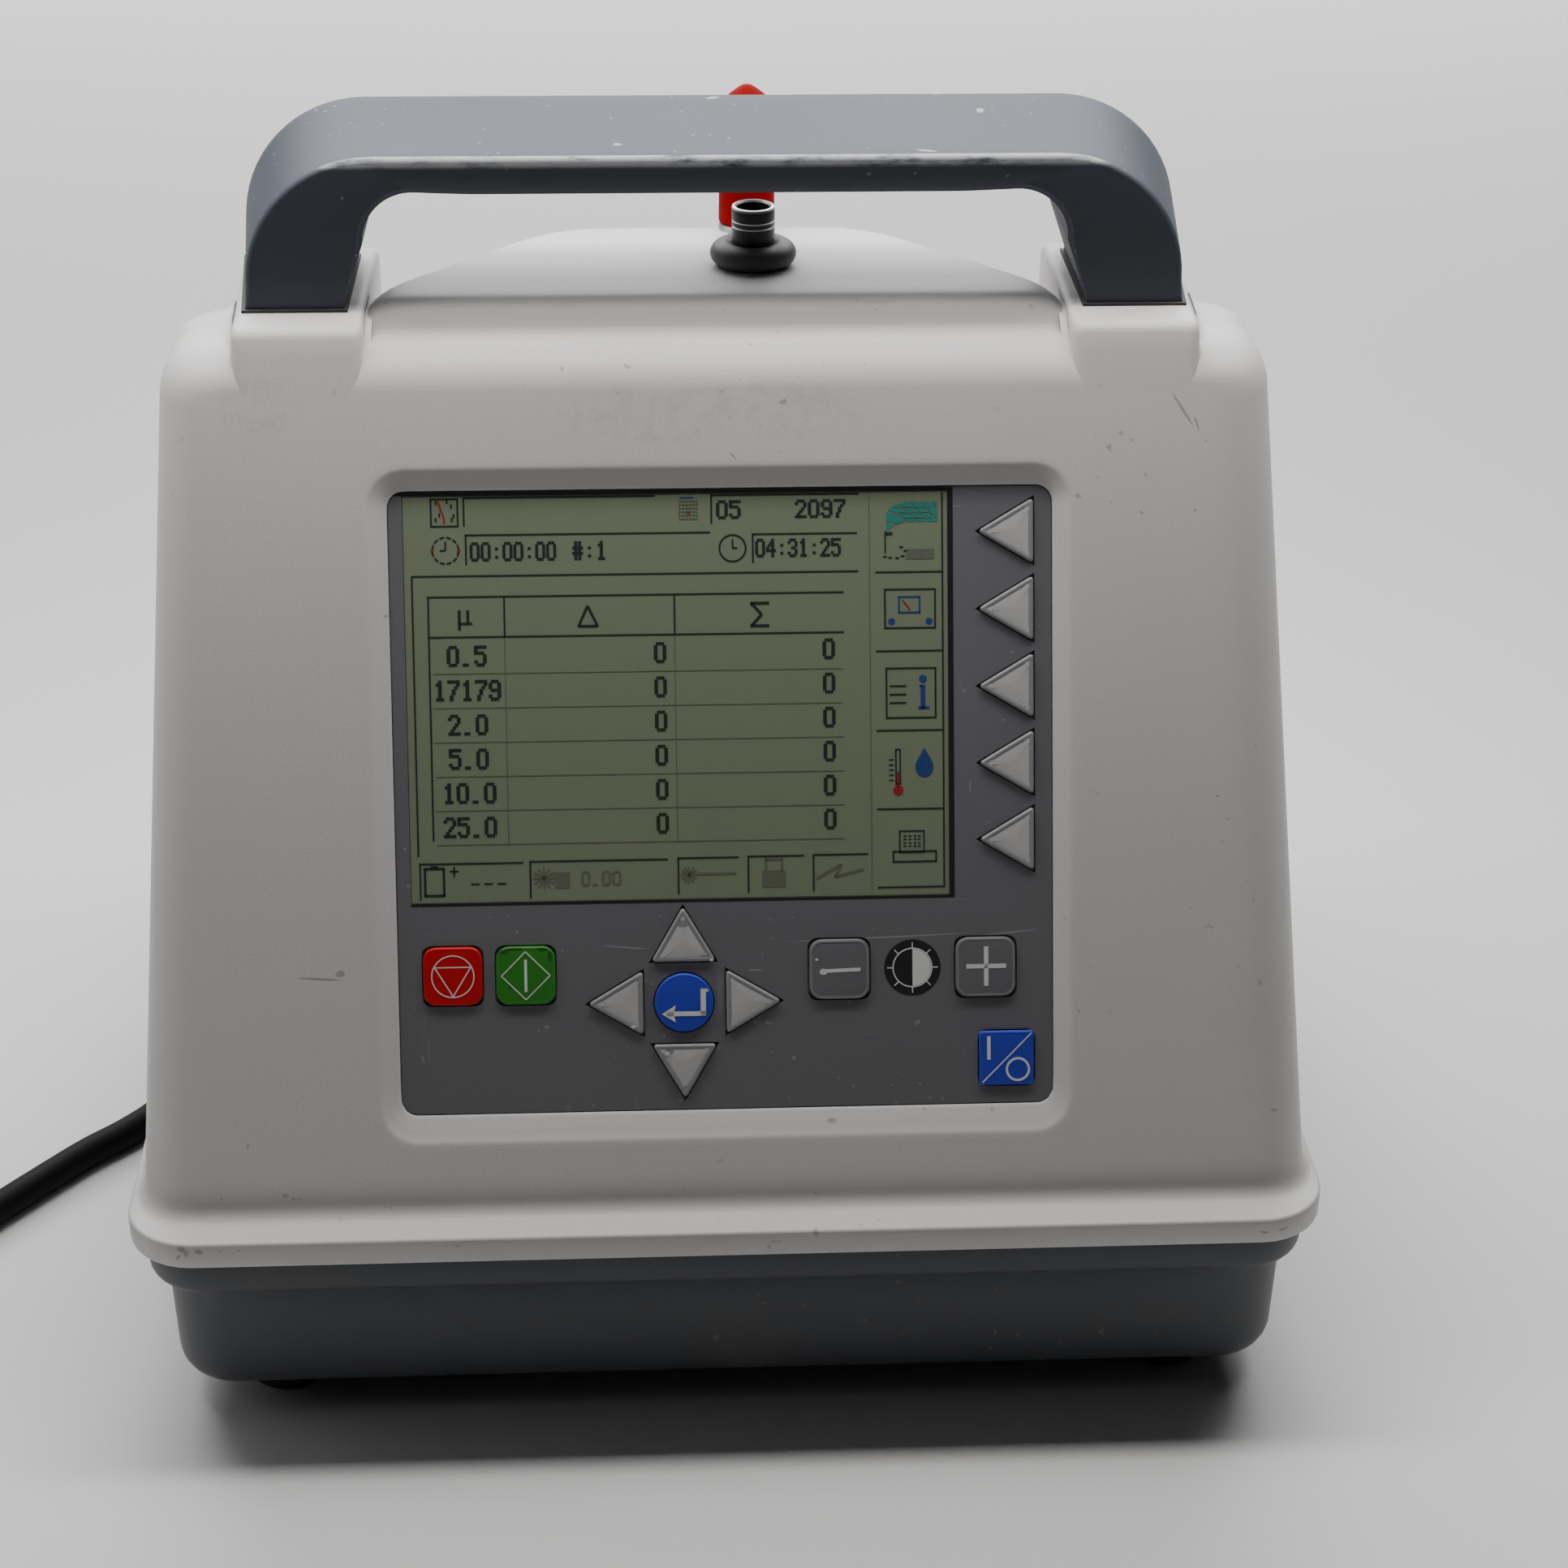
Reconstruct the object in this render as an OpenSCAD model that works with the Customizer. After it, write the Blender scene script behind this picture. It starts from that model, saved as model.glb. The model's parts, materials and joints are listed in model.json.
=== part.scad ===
// Portable airborne particle counter: a two-shell moulded case with a carry handle, a display and
// keypad set into a tilted front, a sample inlet on the hood and a mains cord at the back.
// Millimetres, +Z up. The origin is on the floor under the middle of the case, the front faces -Y.

/* [Case] */
// Width of the cover's rim flange
rim_w = 260; // [256:1:264]
// Depth of the cover's rim flange
rim_d = 226; // [224:1:228]
// Height of the seam between tray and cover
seam_z = 47; // [46:0.5:48]
// Height of the rim flange's upper edge
rim_top = 53.5; // [53:0.5:55]
// Height of the cover's flat top at the shoulders
deck_z = 223.3; // [222:0.1:224]
// Half width of the cover just above the rim
wall_hw = 127.2; // [126.8:0.1:127.4]
// Wall thickness of both shells
wall = 3; // [2.5:0.1:3.2]
// Backward tilt of the front face in degrees
face_tilt = 22.807; // [22:0.1:23.5]

/* [Tray] */
// Half width of the tray's lip
lip_hw = 127; // [126:0.5:128]
// Half depth of the tray's lip
lip_hd = 110.1; // [109.5:0.1:110.5]
// Height of the feet
foot_h = 7; // [6:0.5:8]
// Radius of the rounding along the tray's bottom edge
tray_round = 7; // [5:0.5:8]

/* [Handle] */
// Half width of the handle at its front face
handle_hw = 99.3; // [98:0.1:100]
// Height of the handle's top at its front face
handle_z = 260.8; // [258:0.1:262]
// Rise and spread of the handle from its front to its rear face
handle_flare = 3.5; // [3:0.1:4]
// Thickness of the handle's grip at its front face
grip_t = 7.2; // [6:0.1:8]

/* [Panel] */
// Width of the control panel
panel_w = 140.4; // [139:0.1:141]
// Height of the control panel
panel_h = 133.06; // [132:0.02:134]
// Depth of the panel below the cover's front face
panel_sink = 2.2; // [1.8:0.1:2.6]
// Width of the display's picture area
screen_w = 115.2; // [114:0.1:115.2]
// Height of the display's picture area
screen_h = 86.4; // [86:0.1:86.4]
// Travel of each key
key_travel = 0.4; // [0.2:0.05:0.4]

/* [Top fittings] */
// Outer diameter of the sample inlet tube
tube_d = 9.5; // [9:0.1:9.6]
// Height of the sample inlet's rim
tube_top = 240.6; // [238:0.1:243]
// Radius of the red cap
cap_r = 6.5; // [6:0.1:6.5]

/* [Cord] */
// Diameter of the mains cord
cord_d = 7.5; // [7:0.1:7.5]
// Mean diameter of the coiled part
coil_d = 80; // [78:1:82]

/* [Hidden] */
$fn = 48;
eps = 0.01;
// thickness of the thin slabs that hulls are drawn over
slab_t = 0.2;

// case sections
floor_z = foot_h;
seam_gap = 0.3;
tray_top = seam_z - seam_gap / 2;
cover_bottom = seam_z + seam_gap / 2;
lip_bottom = 37;
tray_hw = 123.5;
tray_hd = 106.5;
tray_r = 13;
edge_r = 13;
side_slope = 0.0553;
rear_slope = 0.315;
rear_base = 103;
shoulder_r = 12;
side_r = 11;
face_y = -69;
face_z = 134.5;
face_line_y = face_y - panel_sink / cos(face_tilt);
shoulder_cz = deck_z - shoulder_r;
shoulder_cy = face_line_y + (shoulder_cz + shoulder_r * sin(face_tilt) - face_z) * tan(face_tilt)
    + shoulder_r * cos(face_tilt);
side_cz = deck_z - side_r;
side_cx = wall_hw - side_slope * (side_cz - rim_top);
// rear profile of the cover's crown as [height, y]
crown = [[190, 60], [194, 58], [197.5, 54.5], [200.5, 49], [203, 43], [221, 3], [222.7, -1.5],
    [deck_z, -6]];
crown_z = crown[0][0];
outer_levels = [190, 194, 197.5, 200.5, 203, side_cz, 216, 219, 221, 222.4, 223.1, deck_z];
inner_levels = [55, 187, 191, 195, 200, side_cz, 216, 219, deck_z - wall];
fillet_levels = [0, 0.5, 1.2, 2.2, 3.5, 5];
fillet_h = 5;
rim_soft = 0.8;
rim_r = 15;
inner_hw = 122;
arc_n = 7;

// hood on the deck
hood_step_y = -17;
hood_z = 229.7;
hood_fall = 4;
hood_edge = 8;
// outline of the hood's crest, right half
hood_plan = [[72, -17], [71, -7], [39, 40], [31, 44.5]];
hood_foot_z = 190;
hood_foot = [[72, -15], [72, 0], [43, 56]];

// handle and its bosses
boss_x = [74.6, 101.8];
boss_flare = 3;
boss_z = 228;
boss_rear = 23;
boss_r = 2.5;
leg_y = [-21, 15];
leg_x = [79, 99.7];
leg_flare = handle_flare;
leg_z = 225;
leg_foot = 4.4;
gasket_t = 0.8;
gasket_z = [224, 228.6];
handle_r = 27.5;
handle_in_r = 11.5;
handle_in_x = 63;
screw_ys = [-12, 6];
handle_screw_x = 89;
boss_floor = deck_z - wall;

// panel layout in the face frame: u to the right, v up the face
screen_u = -67.18;
screen_v = -20.76;
panel_t = 1.5;
key_gap = 0.3;
key_z = [key_travel - panel_t, 0.7];
board_z = -3.1;
carrier_z = -16;
carrier_t = 1.5;
main_z = -28;
// square keys: name order stop, start, minus, plus, power as [u, v, side]
key_stop_at = [-58.75, -36.6, 12.6];
key_start_at = [-43.2, -36.7, 12.6];
key_minus_at = [24.1, -36.6, 13];
key_plus_at = [55.7, -36.7, 13];
key_power_at = [60.2, -56.7, 11.9];
key_enter_at = [-9.4, -43.2];
key_enter_r = 6.35;
// arrow keys: base centre u, v, turn, base width, height
arrow_b = 14;
arrow_h = 11.9;
key_up_at = [-9.4, -34.3, 0];
key_down_at = [-9.4, -52.3, 180];
key_left_at = [-18.2, -43.2, 90];
key_right_at = [-0.3, -43.2, -90];
soft_u = 66.3;
soft_v = 57;
soft_pitch = 16.5;
soft_count = 5;

// top fittings
tube_at = [8.8, 8.6];
tube_bore = 7.5;
tube_low = 205;
// the stem that the grommet and the hose hold is thinner than the end that a hose is pushed over
stem_r = tube_d / 2 - 0.45;
stem_top = tube_top - 5.8;
port_at = [8.6, 41.3];
cap_low = 227.6;
cap_cone_z = 256.6;
cap_top = 259.4;
grommet_r = 6;
grommet_t = 3.6;

// inside
chassis_z = 20;
chassis_t = 2;
block_at = [8.8, 10];
block = [70, 60, 50];
block_z = 40;
blower_at = [-64, 33];
blower_r = 36;
blower_h = 28;
rotor_r = 30;
shaft_r = 3;
hose_t = 1.5;
laser_z = 65;
pillar_at = [111, 62];
rear_x = [-95, -5];
rear_z = [64, 104];
rear_y = 84;
socket_x = -75;
socket_z = 84;
grille_x = -17.4;

// cord route on the floor and down from the socket
cord_r = cord_d / 2;
cord_sides = 10;
cord_route = [[-75, 150, 84], [-76, 166, 79], [-81, 182, 65], [-90, 193, 44], [-103, 197, 22],
    [-119, 192, 8], [-134, 178, 4], [-143, 158, 4], [-146, 135, 4], [-145, 112, 4], [-143, 89, 4],
    [-140, 66, 4], [-138, 46, 4], [-138, 28, 4], [-142, 10, 4], [-150, -1, 4], [-159, -10, 4],
    [-176, -31, 4], [-193, -52, 4], [-206, -68, 4]];
coil_at = [-250, -49];
coil_wide = 3;
coil_high = 2;
plug_z = 12;
plug_y = -10;

// ---------- section rules of the cover ----------

// y of the flat front face at height z
function face_line(z) = face_line_y + (z - face_z) * tan(face_tilt);

// y of the front at height z, inset by t
function front_y(z, t) = z < shoulder_cz + (shoulder_r - t) * sin(face_tilt)
    ? face_line(z) + t / cos(face_tilt)
    : shoulder_cy - sqrt(max(0, pow(shoulder_r - t, 2) - pow(z - shoulder_cz, 2)));

// y of the rear at height z, inset by t
function rear_yz(z, t) = z + 1.1 * t < crown_z
    ? rear_line(z) - 1.05 * t
    : min(rear_line(z) - 1.05 * t, lookup(z + 1.1 * t, crown));

function rear_line(z) = rear_base - (z - rim_top) * rear_slope;

// half width at height z, inset by t
function side_x(z, t) = z < side_cz
    ? wall_hw - side_slope * (z - rim_top) - t
    : side_cx + sqrt(max(0, pow(side_r - t, 2) - pow(z - side_cz, 2)));

// inset of a quarter-round of radius r at depth d below its tangent
function round_in(r, d) = d >= r ? 0 : r - sqrt(r * r - pow(r - d, 2));

// height of the hood's plateau at y
function hood_top(y) = hood_z - tan(hood_fall) * (y - hood_step_y);

// ---------- shared shapes ----------

// points of a level loft section with round corners, counter-clockwise from above
function ring(hw, y0, y1, r, z) = [for (c = [0:3]) for (k = [0:arc_n])
    let (a = c * 90 + k * 90 / arc_n,
        cx = c == 0 || c == 3 ? hw - r : r - hw,
        cy = c < 2 ? y1 - r : y0 + r)
        [cx + r * cos(a), cy + r * sin(a), z]];

// closed skin over a list of rings with the same number of points, from the lowest up
module skin(rings) {
    n = len(rings);
    m = len(rings[0]);
    polyhedron(
        points = [for (r = rings) each r],
        faces = concat(
            [[for (k = [0:m - 1]) k]],
            [[for (k = [m - 1:-1:0]) (n - 1) * m + k]],
            [for (i = [0:n - 2]) for (k = [0:m - 1])
                [i * m + k, (i + 1) * m + k, (i + 1) * m + (k + 1) % m]],
            [for (i = [0:n - 2]) for (k = [0:m - 1])
                [i * m + k, (i + 1) * m + (k + 1) % m, i * m + (k + 1) % m]]),
        convexity = 6);
}

// plate with round corners between two corners and two heights
module round_plate(x0, x1, y0, y1, r, z0, z1) {
    translate([x0 + r, y0, z0])
        cube([x1 - x0 - 2 * r, y1 - y0, z1 - z0]);
    translate([x0, y0 + r, z0])
        cube([x1 - x0, y1 - y0 - 2 * r, z1 - z0]);
    for (x = [x0 + r, x1 - r])
        for (y = [y0 + r, y1 - r])
            translate([x, y, z0])
                cylinder(r = r, h = z1 - z0);
}

// box between two corners
module box(a, b) {
    translate(a)
        cube(b - a);
}

// places children on the panel's plane, +Z out of the front
module face_frame() {
    translate([0, face_y, face_z])
        rotate([90 - face_tilt, 0, 0])
            children();
}

// isosceles triangle standing on its base, grown outward by g
module arrow_2d(g) {
    rho = arrow_b * arrow_h / (arrow_b + 2 * norm([arrow_b / 2, arrow_h]));
    k = (rho + g) / rho;
    polygon([for (p = [[-arrow_b / 2, 0], [arrow_b / 2, 0], [0, arrow_h]])
        [p[0] * k, rho + (p[1] - rho) * k]]);
}

module arrow_shape(at, g, z0, z1) {
    translate([at[0], at[1], z0])
        rotate([0, 0, at[2]])
            linear_extrude(z1 - z0)
                arrow_2d(g);
}

module square_shape(at, g, z0, z1) {
    h = at[2] / 2 + g;
    round_plate(at[0] - h, at[0] + h, at[1] - h, at[1] + h, 2.1, z0, z1);
}

// ---------- cover ----------

// section of the cover's wall at height z, inset by t
function cover_ring(z, t) =
    let (y0 = front_y(z, t), y1 = rear_yz(z, t))
        ring(side_x(z, t), y0, y1, min(edge_r - t, (y1 - y0) / 2 - 0.5), z);

// section of the concave sweep from the wall out to the rim, h above the rim
function fillet_ring(h) =
    let (g = 1 - sqrt(1 - pow(1 - h / fillet_h, 2)), z = rim_top + h)
        ring(side_x(z, 0) + 2 * g, front_y(z, 0) - 5 * g, rear_yz(z, 0) + 5 * g, edge_r + g, z);

function rim_ring(d, z) = ring(rim_w / 2 - d, -rim_d / 2 + d, rim_d / 2 - d, rim_r - d, z);

module cover_outside() {
    skin(concat(
        [rim_ring(rim_soft, cover_bottom), rim_ring(0, cover_bottom + rim_soft)],
        [rim_ring(0, rim_top - rim_soft), rim_ring(rim_soft, rim_top - 0.05)],
        [for (h = fillet_levels) fillet_ring(h)],
        [for (z = outer_levels) cover_ring(z, 0)]));
}

function foot_ring(z) =
    ring(inner_hw, front_y(rim_top, wall), rear_yz(rim_top, wall), edge_r - wall, z);

module cover_inside() {
    skin(concat([foot_ring(seam_z - 1), foot_ring(rim_top)],
        [for (z = inner_levels) cover_ring(z, wall)]));
}

// tilted outline of the hood at depth d below its plateau, inset by t
module hood_slab(d, t) {
    translate([0, hood_step_y, hood_z - d - slab_t])
        rotate([-hood_fall, 0, 0])
            linear_extrude(slab_t)
                polygon([for (s = [1, -1]) for (i = [0:len(hood_plan) - 1])
                    hood_corner(s > 0 ? i : len(hood_plan) - 1 - i, s, t)]);
}

function hood_corner(i, s, t) = [
    s * (hood_plan[i][0] - t * (i < 2 ? 1 : 0.75)),
    hood_plan[i][1] - hood_step_y - (i < 2 ? 0 : t * 0.7)];

module hood_foot_slab(t) {
    translate([0, 0, hood_foot_z])
        linear_extrude(slab_t)
            polygon([for (s = [1, -1]) for (i = [0:len(hood_foot) - 1])
                let (p = hood_foot[s > 0 ? i : len(hood_foot) - 1 - i])
                    [s * (p[0] - t), p[1] - (p[1] > 10 ? t : 0)]]);
}

// rounded hood behind the step, hollow when t is the wall
module hood(t) {
    hull() {
        for (a = [0, 25, 48, 70])
            translate([0, a == 0 ? 1.2 + t : t, -t])
                hood_slab(hood_edge * (1 - cos(a)), hood_edge * (sin(24) - sin(a)) + t);
        hood_foot_slab(t);
    }
}

// one handle boss, its front in line with the tilted face
module boss(s) {
    hull()
        for (level = [[200, boss_r], [boss_z - 2, boss_r], [boss_z - 0.8, 1.8], [boss_z - slab_t, 0.8]])
            boss_slab(s, level[0], level[1]);
}

module boss_slab(s, z, r) {
    lean = (214 - z) * 0.015;
    y0 = face_line(z) + lean + boss_r / cos(face_tilt);
    y1 = boss_rear - boss_r;
    for (p = [[boss_x[0] + boss_r, y0], [boss_x[1] - boss_r, y0], [boss_x[0] + boss_r, y1],
        [boss_x[1] + boss_flare - boss_r, y1]])
        translate([s * p[0], p[1], z])
            cylinder(r = r, h = slab_t, $fn = 24);
}

// plan of a handle leg grown by g
module leg_plan(s, g) {
    polygon([[s * (leg_x[0] - g), leg_y[0] - g], [s * (leg_x[1] + g), leg_y[0] - g],
        [s * (leg_x[1] + leg_flare + g), leg_y[1] + g], [s * (leg_x[0] - g), leg_y[1] + g]]);
}

// ribs, frame and pillars left standing inside the cover
module cover_ribs() {
    face_frame()
        round_plate(-76, 76, -74, 72.5, 6, -4.5, 1);
    for (sx = [-1, 1])
        for (sy = [-1, 1]) {
            translate([sx * pillar_at[0], sy * pillar_at[1], cover_bottom - 2])
                cylinder(r = 5, h = 30);
            hull() {
                translate([sx * pillar_at[0], sy * pillar_at[1] - 1.5, cover_bottom - 2])
                    cube([1, 3, 28]);
                translate([sx * 126 - 1, sy * pillar_at[1] - 1.5, cover_bottom - 2])
                    cube([2, 3, 60]);
            }
        }
    box([rear_x[0] - 3, rear_y - 3, rear_z[0] - 3], [rear_x[1] + 3, 120, rear_z[1] + 3]);
}

// recess and opening for the control panel
module panel_recess() {
    pw = panel_w / 2 + 0.2;
    ph = panel_h / 2 + 0.2;
    hull() {
        round_plate(-74.1, 74.1, -72.3, 71, 7.8, panel_sink + 0.1, panel_sink + 0.2);
        round_plate(-pw, pw, -ph, ph, 3.7, 0, eps);
    }
    round_plate(-pw, pw, -ph, ph, 3.7, -panel_t, eps);
    round_plate(-68.7, 68.7, -65, 65, 1, -10, 0);
}

module upper_cover() {
    color("gainsboro")
        difference() {
            union() {
                cover_outside();
                hood(0);
                boss(-1);
                boss(1);
            }
            difference() {
                union() {
                    cover_inside();
                    hood(wall);
                    for (s = [-1, 1])
                        box([s > 0 ? 78 : -99, -22, 200], [s > 0 ? 99 : -78, 19, boss_floor]);
                }
                cover_ribs();
            }
            gasket_ring(seam_z - 1, seam_z + 0.7, 0.2);
            face_frame()
                panel_recess();
            for (s = [-1, 1])
                translate([0, 0, gasket_z[0]])
                    linear_extrude(10)
                        leg_plan(s, gasket_t + 0.1);
            for (s = [-1, 1])
                for (y = screw_ys)
                    translate([s * handle_screw_x, y, boss_floor - 1])
                        cylinder(r = 2.5, h = 10, $fn = 32);
            translate([tube_at[0], tube_at[1], 180])
                cylinder(r = grommet_r, h = 60);
            translate([port_at[0], port_at[1], 180])
                cylinder(r = cap_r + 0.1, h = 60);
            box([rear_x[0], rear_y, rear_z[0]], [rear_x[1], 130, rear_z[1]]);
            box([rear_x[0] + 4, 70, rear_z[0] + 4], [rear_x[1] - 4, 100, rear_z[1] - 4]);
            for (sx = [-1, 1])
                for (sy = [-1, 1])
                    translate([sx * pillar_at[0], sy * pillar_at[1], seam_z - 1])
                        cylinder(r = 1.7, h = 20, $fn = 32);
            translate([-130, -50, 121])
                rotate([0, 90, 0])
                    cylinder(r = 2.2, h = 12, $fn = 32);
        }
}

// ---------- tray ----------

function tray_ring(z) =
    let (d = round_in(tray_round, z - floor_z) + (lip_bottom - z) * 0.02)
        ring(tray_hw - d, -tray_hd + d, tray_hd - d, tray_r - min(d, 6), z);

function lip_ring(d) =
    let (t = round_in(3, d))
        ring(lip_hw - t, -lip_hd + t, lip_hd - t, 14 - t, lip_bottom + d);

// section of the tray's inner wall at height z, inset by d more than the wall
function tray_inner(z, d) =
    ring(tray_hw - wall - d, -tray_hd + wall + d, tray_hd - wall - d, 10 - min(d, 4), z);

module tray_outside() {
    skin(concat(
        [for (h = [0, 0.3, 1.2, 2.6, 4.6, tray_round, lip_bottom - floor_z]) tray_ring(floor_z + h)],
        [for (d = [0.05, 0.4, 1.3, 3, tray_top - lip_bottom]) lip_ring(d)]));
}

module lower_tray() {
    floor_top = floor_z + wall;
    color("slategray")
        difference() {
            tray_outside();
            difference() {
                skin([tray_inner(floor_top, 4), tray_inner(floor_top + 1.2, 1.2),
                    tray_inner(floor_top + 4, 0), tray_inner(seam_z + 1, 0)]);
                for (sx = [-1, 1])
                    for (sy = [-1, 1]) {
                        translate([sx * pillar_at[0], sy * pillar_at[1], 0])
                            cylinder(r = 5.5, h = tray_top);
                        box([sx > 0 ? pillar_at[0] : -122, sy * pillar_at[1] - 1.5, 0],
                            [sx > 0 ? 122 : -pillar_at[0], sy * pillar_at[1] + 1.5, tray_top]);
                        translate([sx * 88, sy * 72, 0])
                            cylinder(r = 4, h = chassis_z);
                    }
            }
            gasket_ring(seam_z - 0.7, seam_z + 1, 0.2);
            for (sx = [-1, 1])
                for (sy = [-1, 1])
                    translate([sx * pillar_at[0], sy * pillar_at[1], 0]) {
                        cylinder(r = 3.4, h = 12, $fn = 32);
                        cylinder(r = 1.8, h = 50, $fn = 32);
                    }
        }
}

// ring in the seam, grown by g on each side
module gasket_ring(z0, z1, g) {
    t = 1 + g;
    difference() {
        round_plate(-125.5 - t, 125.5 + t, -106.8 - t, 106.8 + t, 12 + t, z0, z1);
        round_plate(-125.5 + t, 125.5 - t, -106.8 + t, 106.8 - t, 12 - t, z0 - 1, z1 + 1);
    }
}

module seam_gasket() {
    color([0.12, 0.12, 0.13])
        gasket_ring(seam_z - 0.7, seam_z + 0.7, 0);
}

module foot(sx, sy) {
    color([0.1, 0.1, 0.1])
        translate([sx * 100, sy * 88, 0])
            rotate_extrude()
                polygon([[0, 0], [8.2, 0], [9, 0.8], [9.6, foot_h], [0, foot_h]]);
}

module base_screws() {
    color("silver")
        for (sx = [-1, 1])
            for (sy = [-1, 1])
                translate([sx * pillar_at[0], sy * pillar_at[1], 0])
                    difference() {
                        union() {
                            translate([0, 0, 9.4])
                                cylinder(r = 2.9, h = 2.6);
                            translate([0, 0, 12])
                                cylinder(r = 1.5, h = 50);
                        }
                        translate([0, 0, 9])
                            cylinder(r = 1.5, h = 1.6, $fn = 6);
                    }
}

// ---------- handle ----------

// front outline of the handle at depth y, inset by e
module handle_slab(y, e) {
    k = handle_flare * (y - leg_y[0]) / (leg_y[1] - leg_y[0]);
    cz = handle_z - handle_r + k;
    cx = handle_hw - handle_r + k;
    translate([0, y, 0])
        rotate([90, 0, 0]) {
            for (s = [-1, 1])
                translate([s * cx, cz, 0])
                    cylinder(r = handle_r - e, h = eps, $fn = 48);
            translate([-leg_x[1] - k + e, leg_z, 0])
                cube([2 * (leg_x[1] + k - e), leg_foot, eps]);
        }
}

// outline of the opening under the grip at depth y, shrunk by b
module grip_slab(y, b) {
    cz = handle_z - grip_t - handle_in_r;
    translate([0, y, 0])
        rotate([90, 0, 0]) {
            for (s = [-1, 1])
                translate([s * handle_in_x, cz, 0])
                    cylinder(r = handle_in_r - b, h = eps, $fn = 48);
            translate([-leg_x[0], leg_z - 1, 0])
                cube([2 * leg_x[0], leg_foot + 1, eps]);
        }
}

module carry_handle() {
    cuts = [-22, -18, -13, -7, -1, 5, 10, 16];
    mid_y = -3;
    color("slategray")
        difference() {
            intersection() {
                hull() {
                    handle_slab(leg_y[0] + eps, 2);
                    handle_slab(leg_y[0] + 0.7, 0.7);
                    handle_slab(leg_y[0] + 2.4, 0);
                    handle_slab(leg_y[1], 0);
                }
                box([-120, -40, leg_z], [120, 40, 300]);
            }
            for (i = [0:len(cuts) - 2])
                hull()
                    for (y = [cuts[i], cuts[i + 1] + eps])
                        grip_slab(y, 3.5 * (1 - pow((y - mid_y) / 19, 2)));
            for (s = [-1, 1])
                for (y = screw_ys)
                    translate([s * handle_screw_x, y, leg_z - 1])
                        cylinder(r = 2.1, h = 17, $fn = 32);
        }
}

module handle_gasket(s) {
    color([0.1, 0.1, 0.1])
        difference() {
            translate([0, 0, gasket_z[0]])
                linear_extrude(gasket_z[1] - gasket_z[0])
                    leg_plan(s, gasket_t);
            translate([0, 0, leg_z])
                linear_extrude(10)
                    leg_plan(s, 0.03);
            for (y = screw_ys)
                translate([s * handle_screw_x, y, gasket_z[0] - 1])
                    cylinder(r = 2.5, h = 5);
        }
}

module handle_screws() {
    color("silver")
        for (s = [-1, 1])
            for (y = screw_ys)
                translate([s * handle_screw_x, y, boss_floor - 3]) {
                    cylinder(r = 3.8, h = 3);
                    cylinder(r = 1.95, h = 3 + 18);
                }
}

// ---------- control panel ----------

module control_panel() {
    color([0.2, 0.24, 0.29])
        face_frame()
            difference() {
                round_plate(-panel_w / 2, panel_w / 2, -panel_h / 2, panel_h / 2, 3.5, -panel_t, 0);
                box([screen_u - 0.1, screen_v - 0.1, -5],
                    [screen_u + screen_w + 0.1, screen_v + screen_h + 0.1, 5]);
                all_keys(key_gap, -5, 5);
            }
}

// every key's outline, grown by g
module all_keys(g, z0, z1) {
    for (at = [key_stop_at, key_start_at, key_minus_at, key_plus_at, key_power_at])
        square_shape(at, g, z0, z1);
    translate([key_enter_at[0], key_enter_at[1], z0])
        cylinder(r = key_enter_r + g, h = z1 - z0);
    for (at = [key_up_at, key_down_at, key_left_at, key_right_at])
        arrow_shape(at, g, z0, z1);
    for (i = [0:soft_count - 1])
        arrow_shape(soft_at(i), g, z0, z1);
}

function soft_at(i) = [soft_u, soft_v - i * soft_pitch, 90];

module square_key(at, tint) {
    color(tint)
        face_frame()
            square_shape(at, 0, key_z[0], key_z[1]);
}

module arrow_key(at) {
    color([0.75, 0.77, 0.8])
        face_frame()
            arrow_shape(at, 0, key_z[0], key_z[1]);
}

module key_enter() {
    color([0.75, 0.77, 0.8])
        face_frame()
            translate([key_enter_at[0], key_enter_at[1], key_z[0]])
                cylinder(r = key_enter_r, h = key_z[1] - key_z[0]);
}

module display_window() {
    color([0.45, 0.47, 0.3])
        face_frame()
            box([screen_u, screen_v, -1.2], [screen_u + screen_w, screen_v + screen_h, -0.15]);
}

module display_module() {
    color([0.6, 0.62, 0.64])
        face_frame()
            difference() {
                box([-67.9, -23, carrier_z + carrier_t], [50, 64.5, -1.6]);
                box([-66, -20, -8], [48, 62, -5]);
            }
}

module keypad_board() {
    color("darkgreen")
        face_frame() {
            box([51, -64.5, board_z], [68, 64.5, -1.6]);
            box([-68, -64.5, board_z], [51, -23.5, -1.6]);
        }
}

module panel_carrier() {
    color([0.3, 0.3, 0.32])
        face_frame()
            difference() {
                union() {
                    box([-75, -71, carrier_z], [75, 71, carrier_z + carrier_t]);
                    for (u = [-1, 1])
                        for (v = [-1, 1])
                            translate([u * 71.9, v * 68.2, carrier_z])
                                cylinder(r = 2.6, h = -4.5 - carrier_z);
                    for (p = [[60, 60], [60, 0], [60, -60], [0, -60], [-60, -60]])
                        translate([p[0], p[1], carrier_z])
                            cylinder(r = 2.2, h = board_z - carrier_z);
                }
                box([-40, -10, carrier_z - 1], [30, 50, -14]);
            }
}

module board_standoffs() {
    color("silver")
        face_frame()
            for (u = [-58, 58])
                for (v = [-52, 52])
                    translate([u, v, main_z + 1.6])
                        cylinder(r = 3, h = carrier_z - main_z - 1.6);
}

module main_board() {
    color("darkgreen")
        face_frame() {
            box([-65, -60, main_z], [65, 60, main_z + 1.6]);
            box([-20, -18, main_z - 2], [16, 18, main_z]);
            box([30, -40, main_z - 4], [52, -20, main_z]);
            box([-55, 20, main_z - 8], [-35, 50, main_z]);
        }
}

// ---------- top and side fittings ----------

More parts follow.
